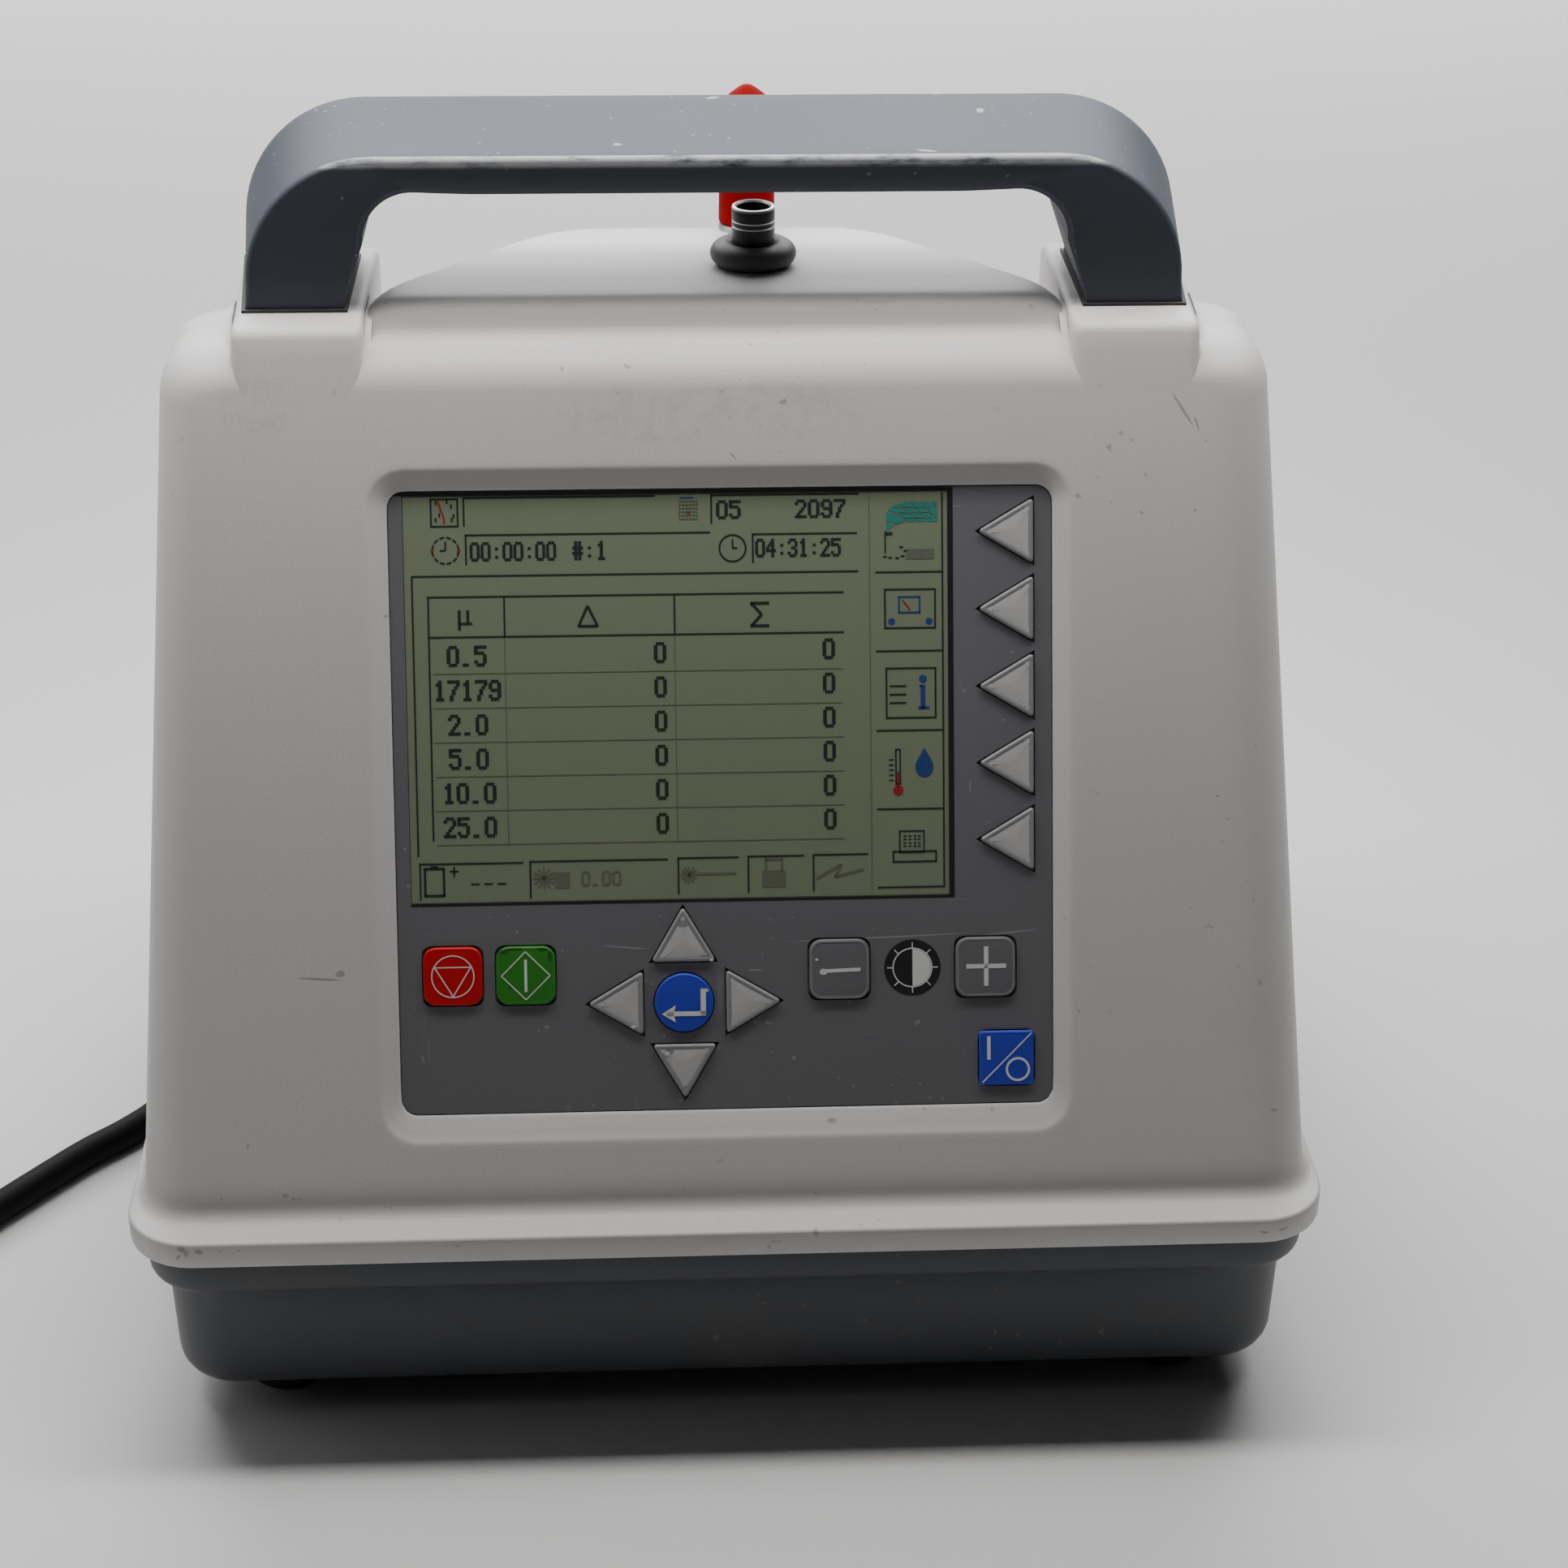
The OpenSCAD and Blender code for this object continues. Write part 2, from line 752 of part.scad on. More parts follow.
module inlet_tube() {
    r = tube_d / 2;
    ri = tube_bore / 2;
    color([0.1, 0.1, 0.1])
        translate([tube_at[0], tube_at[1], 0])
            rotate_extrude()
                polygon([[ri, tube_low], [stem_r, tube_low], [stem_r, stem_top], [r, stem_top],
                    [r, tube_top - 0.6], [r - 0.4, tube_top], [ri + 0.4, tube_top],
                    [ri, tube_top - 0.5]]);
}

module inlet_grommet() {
    r = stem_r;
    z = hood_top(tube_at[1]);
    color([0.08, 0.08, 0.08])
        translate([tube_at[0], tube_at[1], 0])
            difference() {
                rotate_extrude() {
                    translate([grommet_r, z + 3.4])
                        intersection() {
                            circle(r = grommet_t);
                            translate([r - grommet_r, -5])
                                square([10, 10]);
                        }
                    translate([r, z - 6])
                        square([grommet_r - r, 7]);
                }
                difference() {
                    rotate([-hood_fall, 0, 0])
                        box([-20, -20 - z * sin(hood_fall), z * cos(hood_fall) - 9],
                            [20, 20 - z * sin(hood_fall), z * cos(hood_fall) + 0.02]);
                    translate([0, 0, z - 20])
                        cylinder(r = grommet_r, h = 40);
                }
            }
}

module rear_port() {
    color("silver")
        translate([port_at[0], port_at[1], 0])
            difference() {
                union() {
                    translate([0, 0, 208])
                        cylinder(r = cap_r, h = cap_low - 208);
                    translate([0, 0, cap_low - 1])
                        cylinder(r = 3.5, h = 18);
                }
                translate([0, 0, 200])
                    cylinder(r = 2, h = 60);
            }
}

module red_cap() {
    color("crimson")
        translate([port_at[0], port_at[1], 0])
            rotate_extrude()
                polygon([[3.5, cap_low], [cap_r, cap_low], [cap_r - 0.2, 243], [cap_r - 1.2, 255],
                    [cap_r - 2.2, cap_cone_z], [0, cap_top], [0, cap_cone_z - 4],
                    [3.5, cap_cone_z - 6]]);
}

module side_fitting() {
    color("silver")
        translate([-side_x(121, 0), -50, 121])
            rotate([0, -90, 0]) {
                rotate_extrude()
                    polygon([[0, -4], [2, -4], [2, 0.3], [3.6, 0.3], [2.8, 0.9], [1.6, 1.2], [0, 1.3]]);
            }
}

// ---------- rear plate ----------

module rear_plate() {
    color([0.7, 0.71, 0.73])
        difference() {
            box([rear_x[0] + 0.2, rear_y, rear_z[0] + 0.2], [rear_x[1] - 0.2, rear_y + 2,
                rear_z[1] - 0.2]);
            box([socket_x - 13.6, 80, socket_z - 9.9], [socket_x + 13.6, 90, socket_z + 9.9]);
            box([-51.1, 80, 78.9], [-32.9, 90, 89.1]);
            box([grille_x - 7, 80, 70], [grille_x + 7, 90, 98]);
        }
}

module mains_socket() {
    y = rear_y + 2;
    color([0.08, 0.08, 0.08]) {
        difference() {
            union() {
                box([socket_x - 15.5, y, socket_z - 11.5], [socket_x + 15.5, y + 2.5, socket_z + 11.5]);
                box([socket_x - 13.5, y - 22, socket_z - 9.8], [socket_x + 13.5, y, socket_z + 9.8]);
            }
            box([socket_x - 12.2, y - 17, socket_z - 8.2], [socket_x + 12.2, y + 5, socket_z + 8.2]);
        }
        for (p = [[-7, -2], [0, 2], [7, -2]])
            box([socket_x + p[0] - 1, y - 20, socket_z + p[1] - 2], [socket_x + p[0] + 1, y - 3,
                socket_z + p[1] + 2]);
    }
}

module data_socket() {
    y = rear_y + 2;
    color("silver")
        difference() {
            union() {
                box([-57, y, 78], [-27, y + 1, 90]);
                box([-51, y - 10, 79], [-33, y + 6, 89]);
            }
            box([-50.2, y - 4, 79.8], [-33.8, y + 8, 88.2]);
            for (x = [-54.2, -29.8])
                translate([x, y - 1, 84])
                    rotate([-90, 0, 0])
                        cylinder(r = 1.4, h = 4);
        }
}

module exhaust_grille() {
    color([0.15, 0.15, 0.16])
        difference() {
            box([grille_x - 9, rear_y + 2, 68], [grille_x + 9, rear_y + 3.5, 100]);
            for (i = [0:6])
                box([grille_x - 7, rear_y, 71 + i * 4], [grille_x + 7, rear_y + 5, 73.4 + i * 4]);
        }
}

// ---------- cord ----------

module cord_connector() {
    color([0.07, 0.07, 0.07])
        difference() {
            union() {
                box([socket_x - 11.9, 69.5, socket_z - 7.9], [socket_x + 11.9, 92, socket_z + 7.9]);
                box([socket_x - 13, 92, socket_z - 8.5], [socket_x + 13, 114, socket_z + 8.5]);
                translate([socket_x, 114, socket_z])
                    rotate([-90, 0, 0])
                        cylinder(r1 = 7.5, r2 = cord_r + 0.8, h = 36);
            }
            for (p = [[-7, -2], [0, 2], [7, -2]])
                box([socket_x + p[0] - 1.2, 60, socket_z + p[1] - 2.2], [socket_x + p[0] + 1.2, 84,
                    socket_z + p[1] + 2.2]);
        }
}

// direction along the route at point i
function along(i) = unit(cord_route[min(i + 1, len(cord_route) - 1)] - cord_route[max(i - 1, 0)]);

function unit(v) = v / norm(v);

// points of the ring round route point i
function ring_at(i) =
    let (d = along(i), a = unit(cross(d, [0.1, 0.2, 1])), b = cross(d, a))
        [for (k = [0:cord_sides - 1])
            cord_route[i] + cord_r * (cos(k * 360 / cord_sides) * a + sin(k * 360 / cord_sides) * b)];

module power_cord() {
    color([0.07, 0.07, 0.07])
        skin([for (i = [0:len(cord_route) - 1]) ring_at(i)]);
}

module cord_coil() {
    color([0.07, 0.07, 0.07])
        translate([coil_at[0], coil_at[1], 0])
            rotate_extrude()
                translate([coil_d / 2 - coil_wide * cord_r, 0])
                    square([coil_wide * cord_d, coil_high * cord_d]);
}

module wall_plug() {
    x = coil_at[0] - coil_d / 2 - (coil_wide - 1) * cord_r;
    color([0.07, 0.07, 0.07]) {
        translate([x, plug_y, plug_z])
            rotate([90, 0, 0])
                cylinder(r1 = 8, r2 = cord_r + 0.8, h = 34);
        box([x - 13, plug_y, 0.5], [x + 13, plug_y + 26, 2 * plug_z - 0.5]);
    }
    color("silver") {
        for (s = [-1, 1])
            box([x + s * 6.35 - 0.75, plug_y + 26, plug_z - 3.2 + 3], [x + s * 6.35 + 0.75,
                plug_y + 43, plug_z + 3.2 + 3]);
        translate([x, plug_y + 26, plug_z - 6])
            rotate([-90, 0, 0])
                cylinder(r = 2.4, h = 19);
    }
}

// ---------- inside ----------

module chassis_plate() {
    color([0.72, 0.73, 0.75]) {
        box([-103, -86, chassis_z], [103, 86, chassis_z + chassis_t]);
        for (sx = [-28, 28])
            for (sy = [-24, 24])
                translate([block_at[0] + sx, block_at[1] + sy, chassis_z])
                    cylinder(r = 4, h = block_z - chassis_z);
    }
}

module sensor_block() {
    x0 = block_at[0] - block[0] / 2;
    y0 = block_at[1] - block[1] / 2;
    top = block_z + block[2];
    color([0.75, 0.76, 0.78])
        difference() {
            union() {
                translate([x0, y0, block_z])
                    cube(block);
                translate([tube_at[0], tube_at[1], top])
                    cylinder(r = stem_r, h = 14);
                translate([x0 - 8, blower_at[1], block_z + 26])
                    rotate([0, 90, 0])
                        cylinder(r = 5, h = 9);
            }
            translate([tube_at[0], tube_at[1], laser_z - 12])
                cylinder(r = 3, h = 60);
            translate([x0 - 1, block_at[1], laser_z])
                rotate([0, 90, 0])
                    cylinder(r = 5, h = block[0] + 2);
            translate([x0 - 9, blower_at[1], block_z + 26])
                rotate([0, 90, 0])
                    cylinder(r = 3, h = 30);
        }
}

module laser_module() {
    x0 = block_at[0] - block[0] / 2;
    color([0.2, 0.2, 0.22])
        translate([x0 - 60, block_at[1], laser_z])
            rotate([0, 90, 0]) {
                cylinder(r = 11, h = 60);
                translate([0, 0, -6])
                    cylinder(r = 6, h = 7);
            }
}

module detector_housing() {
    x1 = block_at[0] + block[0] / 2;
    color([0.2, 0.2, 0.22])
        box([x1, block_at[1] - 20, laser_z - 20], [x1 + 30, block_at[1] + 20, laser_z + 20]);
}

module sample_hose() {
    low = block_z + block[2] + 2;
    color([0.85, 0.85, 0.82])
        translate([tube_at[0], tube_at[1], low])
            difference() {
                cylinder(r = stem_r + hose_t, h = tube_low + 8 - low);
                translate([0, 0, -1])
                    cylinder(r = stem_r, h = 200);
            }
}

module blower_housing() {
    top = chassis_z + chassis_t + blower_h;
    base = chassis_z + chassis_t;
    color([0.25, 0.25, 0.27])
        difference() {
            union() {
                translate([blower_at[0], blower_at[1], base])
                    cylinder(r = blower_r, h = blower_h);
                box([blower_at[0], blower_at[1] + 22, base + 4], [-11, blower_at[1] + 35, base + 24]);
                translate([blower_at[0], blower_at[1], top - 1])
                    cylinder(r = 5, h = 9);
            }
            difference() {
                translate([blower_at[0], blower_at[1], base + 3])
                    cylinder(r = blower_r - 3, h = blower_h - 6);
                translate([blower_at[0], blower_at[1], base])
                    cylinder(r = shaft_r, h = blower_h - 8);
            }
            translate([blower_at[0], blower_at[1], top - 4])
                cylinder(r = 3.5, h = 20);
            box([blower_at[0] + 10, blower_at[1] + 24, base + 6], [-5, blower_at[1] + 33, base + 22]);
        }
}

module blower_rotor() {
    base = chassis_z + chassis_t + 5;
    color([0.85, 0.85, 0.86])
        translate([blower_at[0], blower_at[1], base])
            difference() {
                union() {
                    cylinder(r = 9, h = 15);
                    cylinder(r = rotor_r, h = 2);
                    for (a = [0:36:324])
                        rotate([0, 0, a])
                            translate([6, 4, 0])
                                rotate([0, 0, -18])
                                    box([0, 0, 0], [22, 1.4, 15]);
                }
                translate([0, 0, -1])
                    cylinder(r = shaft_r + 0.05, h = 30);
            }
}

module suction_hose() {
    top = chassis_z + chassis_t + blower_h;
    x1 = block_at[0] - block[0] / 2;
    z1 = block_z + 26;
    bend = 9;
    rise = z1 - bend - top - 1;
    color([0.85, 0.85, 0.82]) {
        translate([blower_at[0], blower_at[1], top + 1])
            hose_piece(rise);
        translate([blower_at[0] + bend, blower_at[1], z1 - bend])
            rotate([90, 0, 0])
                rotate([0, 0, 90])
                    rotate_extrude(angle = 90)
                        translate([bend, 0])
                            difference() {
                                circle(r = 5 + hose_t);
                                circle(r = 5);
                            }
        translate([blower_at[0] + bend, blower_at[1], z1])
            rotate([0, 90, 0])
                hose_piece(x1 - 1 - blower_at[0] - bend);
    }
}

module hose_piece(h) {
    difference() {
        cylinder(r = 5 + hose_t, h = h);
        translate([0, 0, -1])
            cylinder(r = 5, h = h + 2);
    }
}

module exhaust_filter() {
    color([0.9, 0.9, 0.88])
        translate([-11, blower_at[1] + 28.5, 44])
            rotate([0, 90, 0])
                difference() {
                    cylinder(r = 17, h = 72);
                    translate([0, 0, 66])
                        cylinder(r = 6, h = 10);
                }
}

module battery_pack() {
    color([0.2, 0.3, 0.55])
        box([50, -80, chassis_z + chassis_t], [98, -16, 46]);
}

module power_supply() {
    color([0.6, 0.6, 0.62])
        box([-98, -80, chassis_z + chassis_t], [-34, -14, 45]);
}

lower_tray();
upper_cover();
seam_gasket();
foot(-1, -1);  // foot_front_left
foot(1, -1);  // foot_front_right
foot(-1, 1);  // foot_rear_left
foot(1, 1);  // foot_rear_right
base_screws();
carry_handle();
handle_gasket(-1);  // handle_gasket_left
handle_gasket(1);  // handle_gasket_right
handle_screws();
control_panel();
display_window();
display_module();
square_key(key_stop_at, [0.75, 0.77, 0.8]);  // key_stop
square_key(key_start_at, [0.75, 0.77, 0.8]);  // key_start
key_enter();
arrow_key(key_up_at);  // key_up
arrow_key(key_down_at);  // key_down
arrow_key(key_left_at);  // key_left
arrow_key(key_right_at);  // key_right
square_key(key_minus_at, [0.75, 0.77, 0.8]);  // key_minus
square_key(key_plus_at, [0.75, 0.77, 0.8]);  // key_plus
square_key(key_power_at, [0.75, 0.2, 0.2]);  // key_power
arrow_key(soft_at(0));  // soft_key_1
arrow_key(soft_at(1));  // soft_key_2
arrow_key(soft_at(2));  // soft_key_3
arrow_key(soft_at(3));  // soft_key_4
arrow_key(soft_at(4));  // soft_key_5
keypad_board();
panel_carrier();
inlet_tube();
inlet_grommet();
rear_port();
red_cap();
side_fitting();
rear_plate();
mains_socket();
data_socket();
exhaust_grille();
cord_connector();
power_cord();
cord_coil();
wall_plug();
chassis_plate();
sensor_block();
laser_module();
detector_housing();
sample_hose();
blower_housing();
blower_rotor();
suction_hose();
exhaust_filter();
battery_pack();
power_supply();
main_board();
board_standoffs();
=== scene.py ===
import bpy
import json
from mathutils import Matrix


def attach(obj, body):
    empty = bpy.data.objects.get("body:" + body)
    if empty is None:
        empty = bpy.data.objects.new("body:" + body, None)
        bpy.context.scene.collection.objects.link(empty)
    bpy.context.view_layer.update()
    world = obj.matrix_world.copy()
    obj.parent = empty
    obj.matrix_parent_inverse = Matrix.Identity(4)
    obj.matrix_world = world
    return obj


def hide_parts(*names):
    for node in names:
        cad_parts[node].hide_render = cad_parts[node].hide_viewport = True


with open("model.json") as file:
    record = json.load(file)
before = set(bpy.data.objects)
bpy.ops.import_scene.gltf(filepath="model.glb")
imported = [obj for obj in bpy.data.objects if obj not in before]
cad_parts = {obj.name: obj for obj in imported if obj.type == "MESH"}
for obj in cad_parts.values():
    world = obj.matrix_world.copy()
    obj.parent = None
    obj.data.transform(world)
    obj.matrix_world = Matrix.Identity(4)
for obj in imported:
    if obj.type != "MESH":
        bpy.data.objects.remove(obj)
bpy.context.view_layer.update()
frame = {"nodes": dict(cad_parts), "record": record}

import json
import math

import bmesh
import bpy
import numpy as np
from mathutils import Matrix

# Lengths in the shape functions are millimetres; build_piece() turns them into metres.
MM = 0.001

# ---------- the case's driving sizes ----------

RIM_HW, RIM_HD, RIM_TOP, RIM_R = 130.0, 113.0, 53.5, 15.0
COVER_BOTTOM, TRAY_TOP, LIP_BOTTOM, TRAY_FLOOR = 47.15, 46.85, 37.0, 7.0
WALL = 3.0
TILT = math.radians(22.807)
SIN_T, COS_T, TAN_T = math.sin(TILT), math.cos(TILT), math.tan(TILT)
FACE_Y, FACE_Z, PANEL_SINK = -69.0, 134.5, 2.2
DECK_Z, SHOULDER_R, SIDE_R = 223.3, 12.0, 11.0
FACE_LINE_Y = FACE_Y - PANEL_SINK / COS_T
SHOULDER_Z = DECK_Z - SHOULDER_R
SHOULDER_Y = (FACE_LINE_Y + (SHOULDER_Z + SHOULDER_R * SIN_T - FACE_Z) * TAN_T
              + SHOULDER_R * COS_T)
SIDE_SLOPE, REAR_SLOPE, REAR_BASE, WALL_HW = 0.0553, 0.315, 103.0, 127.2
SIDE_Z = DECK_Z - SIDE_R
SIDE_X = WALL_HW - SIDE_SLOPE * (SIDE_Z - RIM_TOP)
CROWN = np.array([(190, 60), (194, 58), (197.5, 54.5), (200.5, 49), (203, 43), (221, 3),
                  (222.7, -1.5), (DECK_Z, -6)])
EDGE_R = 13.0
RIM_EDGE = 0.8          # round of the rim's edges
FIXED_X = 80.0          # the cover's columns keep their place across this half width
FACE_CUT_Z = (65.0, 205.5)
ROLL_Z, ROLL_H = 61.0, 9.0    # below ROLL_Z the front turns upright over ROLL_H
SWEEP_R, SIDE_SWEEP, FRONT_SWEEP_R = 5.0, 2.0, 3.0    # where the walls meet the rim
REAR_CUT_Z = (60.0, 108.0)
REAR_PLATE_AT, REAR_PLATE_HALF, REAR_FLAT_Y = (-50.0, 84.0), (45.0, 20.0), 84.02    # pocket for the plate

# hood
HOOD_Z, HOOD_Y, HOOD_FALL, HOOD_EDGE = 229.7, -17.0, math.tan(math.radians(4)), 8.0
HOOD_CREST = np.array([(-72, -17), (72, -17), (71, -7), (39, 40), (31, 44.5), (-31, 44.5),
                       (-39, 40), (-71, -7)])
HOOD_SOFT = 2.6         # radius of the sweep round its foot
HOOD_CORNER = 1.6       # softness of the crest's corners

# handle and bosses
BOSS_X, BOSS_Z, BOSS_FLARE, BOSS_REAR, BOSS_R = (74.6, 101.8), 228.0, 3.0, 23.0, 2.5
HANDLE_Y, HANDLE_HW, HANDLE_Z, HANDLE_R = (-21.0, 15.0), 99.3, 260.8, 27.5
HANDLE_FLARE, GRIP_T, GRIP_X, GRIP_R = 3.5, 7.2, 63.0, 11.5
LEG_X, LEG_Z, LEG_FOOT_Z = (79.0, 99.7), 225.0, 229.4

# panel
PANEL_HALF, PANEL_R, POCKET_W = (70.2, 66.53), 3.5, -1.56
BEZEL_AT, BEZEL_HALF, BEZEL_R = (-0.25, -0.65), (74.05, 71.55), 7.8
SCREEN = (-67.18, -20.76, 48.02, 65.64)
KEY_TOP, KEY_LOW = 0.7, -1.1
WINDOW_W = -0.15        # the display window's face, in the panel's frame
DOT_PITCH = 0.36        # the display's dots
STOP_AT, START_AT, ENTER_AT = (-58.75, -36.6), (-43.2, -36.7), (-9.4, -43.2)
MINUS_AT, PLUS_AT, POWER_AT, CONTRAST_AT = (24.1, -36.6), (55.7, -36.7), (60.2, -56.7), (39.9, -36.6)
SLOT_OF = {s["node"]: s["material_slot"] for s in frame["record"]["subparts"]}

# top fittings
TUBE_AT, TUBE_R, TUBE_BORE, TUBE_TOP = (8.8, 8.6), 4.75, 3.75, 241.3
TUBE_RINGS = ((236.65, 237.03), (237.90, 238.28))
PORT_AT, CAP_R, CAP_LOW = (8.6, 41.3), 6.5, 227.6
GROMMET_R, GROMMET_THICK = 6.0, 3.6

# cord
CORD_D = 7.5
CORD_ROUTE = [(-75, 150, 84), (-76, 166, 79), (-81, 182, 65), (-90, 193, 44), (-103, 197, 22),
              (-119, 192, 8), (-134, 178, 4), (-143, 158, 4), (-146, 135, 4), (-145, 112, 4),
              (-143, 89, 4), (-140, 66, 4), (-138, 46, 4), (-138, 28, 4), (-142, 10, 4),
              (-150, -1, 4), (-159, -10, 4), (-176, -31, 4), (-193, -52, 4), (-206, -68, 4)]
COIL_AT, COIL_D, PLUG_Z = (-250.0, -49.0), 80.0, 12.0


# ---------- camera, floor and light ----------

def set_camera():
    """The camera stands in front and above, turned a little to the right and rolled half a degree."""
    lens_px, image_px = 3600.0, 1932.0
    yaw, fall, roll = math.radians(3.12), math.radians(28.5), math.radians(0.554)
    data = bpy.data.cameras.new("camera")
    data.sensor_width = 36
    data.lens = lens_px / image_px * data.sensor_width
    data.clip_start, data.clip_end = 0.02, 50
    cam = bpy.data.objects.new("camera", data)
    bpy.context.scene.collection.objects.link(cam)
    ahead = np.array([math.sin(yaw) * math.cos(fall), math.cos(yaw) * math.cos(fall), -math.sin(fall)])
    right = np.array([math.cos(yaw), -math.sin(yaw), 0])
    up = np.cross(right, ahead)
    across = math.cos(roll) * right + math.sin(roll) * up
    over = math.cos(roll) * up - math.sin(roll) * right
    turn = Matrix([[across[i], over[i], -ahead[i]] for i in range(3)]).to_4x4()
    cam.matrix_world = Matrix.Translation((-0.01724, -0.6158, 0.4359)) @ turn
    bpy.context.scene.camera = cam


def set_light(name, place, aim, size, watts, tint):
    """A rectangular softbox at place, facing aim, size wide and deep."""
    data = bpy.data.lights.new(name, "AREA")
    data.shape = "RECTANGLE"
    data.size, data.size_y = size
    data.energy = watts
    data.color = tint
    lamp = bpy.data.objects.new(name, data)
    bpy.context.scene.collection.objects.link(lamp)
    lamp.location = place
    ray = Matrix.Translation(aim).to_translation() - lamp.location
    lamp.rotation_euler = ray.to_track_quat("-Z", "Y").to_euler()


# ---------- shader maths ----------

class Flow:
    """One output of a shader node. Sums and products of flows add Math nodes."""

    def __init__(self, finish, socket):
        self.finish, self.socket = finish, socket

    def _maths(self, kind, a, b):
        """The flow of a Math node of this kind over a and b."""
        return self.finish.node("ShaderNodeMath", {"operation": kind}, {0: a, 1: b})

    def __add__(self, other):
        return self._maths("ADD", self, other)

    __radd__ = __add__

    def __sub__(self, other):
        return self._maths("SUBTRACT", self, other)

    def __rsub__(self, other):
        return self._maths("SUBTRACT", other, self)

    def __mul__(self, other):
        return self._maths("MULTIPLY", self, other)

    __rmul__ = __mul__

    def clip(self):
        """The flow held between 0 and 1."""
        return self.finish.node("ShaderNodeClamp", {}, {0: self})

    def sine(self):
        """The sine of the flow, taken as an angle in radians."""
        return self.finish.node("ShaderNodeMath", {"operation": "SINE"}, {0: self})


class Finish:
    """One material; node() is the only way a shader node is made."""

    def __init__(self, name):
        self.material = bpy.data.materials.new(name)
        self.material.use_nodes = True
        self.tree = self.material.node_tree
        self.shader = self.tree.nodes["Principled BSDF"]
        self.place = self.node("ShaderNodeTexCoord", {}, {}, "Object")

    def put(self, socket, value):
        """Links a flow to the socket or sets its number."""
        if isinstance(value, Flow):
            self.tree.links.new(value.socket, socket)
        else:
            socket.default_value = value

    def node(self, kind, settings, inputs, output=0):
        """Adds a node: its settings first, then the values and links of its sockets."""
        made = self.tree.nodes.new(kind)
        for key, value in settings.items():
            setattr(made, key, value)
        for key, value in inputs.items():
            self.put(made.inputs[key], value)
        return Flow(self, made.outputs[output])

    def set(self, **values):
        """Sets or links the main shader's sockets, named with _ for a space."""
        for key, value in values.items():
            self.put(self.shader.inputs[key.replace("_", " ")], value)

    def axis(self, letter):
        """The distance from the origin along X, Y or Z, in metres."""
        return self.node("ShaderNodeSeparateXYZ", {}, {0: self.place}, "XYZ".index(letter))

    def mix(self, mask, a, b):
        """Colour a where the mask is 0 and b where it is 1."""
        pair = [c if isinstance(c, Flow) else (*c, 1) for c in (a, b)]
        return self.node("ShaderNodeMix", {"data_type": "RGBA"},
                         {0: mask, 6: pair[0], 7: pair[1]}, 2)

    def noise(self, per_metre, detail=2.0, rough=0.5, stretch=None):
        """Smooth noise from 0 to 1, with this many lumps to a metre."""
        at = self.place
        if stretch:
            at = self.node("ShaderNodeMapping", {}, {"Vector": at, "Scale": stretch})
        return self.node("ShaderNodeTexNoise", {}, {
            "Vector": at, "Scale": per_metre, "Detail": detail, "Roughness": rough})

    def step(self, flow, low, high):
        """0 below low, 1 above high, and smooth between."""
        return self.node("ShaderNodeMapRange", {"interpolation_type": "SMOOTHSTEP"}, {
            "Value": flow, "From Min": low, "From Max": high, "To Min": 0.0, "To Max": 1.0})

    def mark(self, at, size, turn=(0, 0, 0), ragged=0.35, soft=0.25):
        """1 inside an ellipsoid of half sizes size in mm at a point in mm, turned in degrees.
        Its reach is the length of the place divided by the half sizes, plus noise for the edge."""
        local = self.node("ShaderNodeMapping", {"vector_type": "TEXTURE"}, {
            "Vector": self.place, "Location": [c * MM for c in at],
            "Rotation": [math.radians(c) for c in turn], "Scale": [c * MM for c in size]})
        reach = self.node("ShaderNodeVectorMath", {"operation": "LENGTH"}, {0: local}, "Value")
        lumps = 900 / max(min(size), 0.4)
        reach = reach + self.noise(lumps, 3) * (2 * ragged) - ragged
        return self.step(reach, 1 + soft, 1 - soft)

    def marks(self, places):
        """The union of several marks."""
        total = self.mark(*places[0])
        for place in places[1:]:
            total = total + self.mark(*place)
        return total.clip()

    def bump(self, height, depth_mm, strength=1.0):
        """Raises the surface by height times depth_mm in its shading alone."""
        self.set(Normal=self.node("ShaderNodeBump", {}, {
            "Strength": strength, "Distance": depth_mm * MM, "Height": height}))


def on_face(u, v, w=PANEL_SINK):
    """A point given across, up and out of the tilted face, in mm."""
    return (u, FACE_Y + v * SIN_T - w * COS_T, FACE_Z + v * COS_T + w * SIN_T)


def shade(colour, k):
    """The colour k times as bright."""
    return tuple(c * k for c in colour)


# ---------- finishes ----------

def moulded(name, colour, dirt=(0.3, 0.24, 0.17), grain=0.05, rough=0.52, chips=(), scars=(), stains=()):
    """Moulded plastic: spark-eroded grain, a faint mottle, specks of dirt, chips, scratches and stains."""
    f = Finish(name)
    mottle = f.noise(14, 3)
    tone = f.mix(mottle, shade(colour, 0.955), shade(colour, 1.045))
    speck = f.step(f.noise(420, 1), 0.735, 0.77) * f.step(f.noise(23, 2), 0.45, 0.62)
    tone = f.mix(speck * 0.5, tone, shade(dirt, 0.6))
    film = f.step(f.noise(31, 4, 0.6), 0.56, 0.8)
    tone = f.mix(film * 0.07, tone, dirt)
    height = f.noise(1500, 2, 0.6) * grain
    if stains:
        blotch = f.marks(stains) * f.step(f.noise(260, 4, 0.7), 0.42, 0.7)
        tone = f.mix(blotch * 0.22, tone, dirt)
    if scars:
        mask = f.marks(scars)
        tone = f.mix(mask * 0.75, tone, shade(colour, 0.5))
        height = height - mask * 0.06
    if chips:
        mask = f.marks(chips)
        tone = f.mix(mask * 0.7, tone, (0.27, 0.25, 0.2))
        height = height - mask * 0.12
    f.set(Base_Color=tone, Roughness=(mottle * 0.1 + film * 0.1 + (rough - 0.08)).clip(),
          Specular_IOR_Level=0.4)
    f.bump(height, 1.0, 0.75)
    return f.material


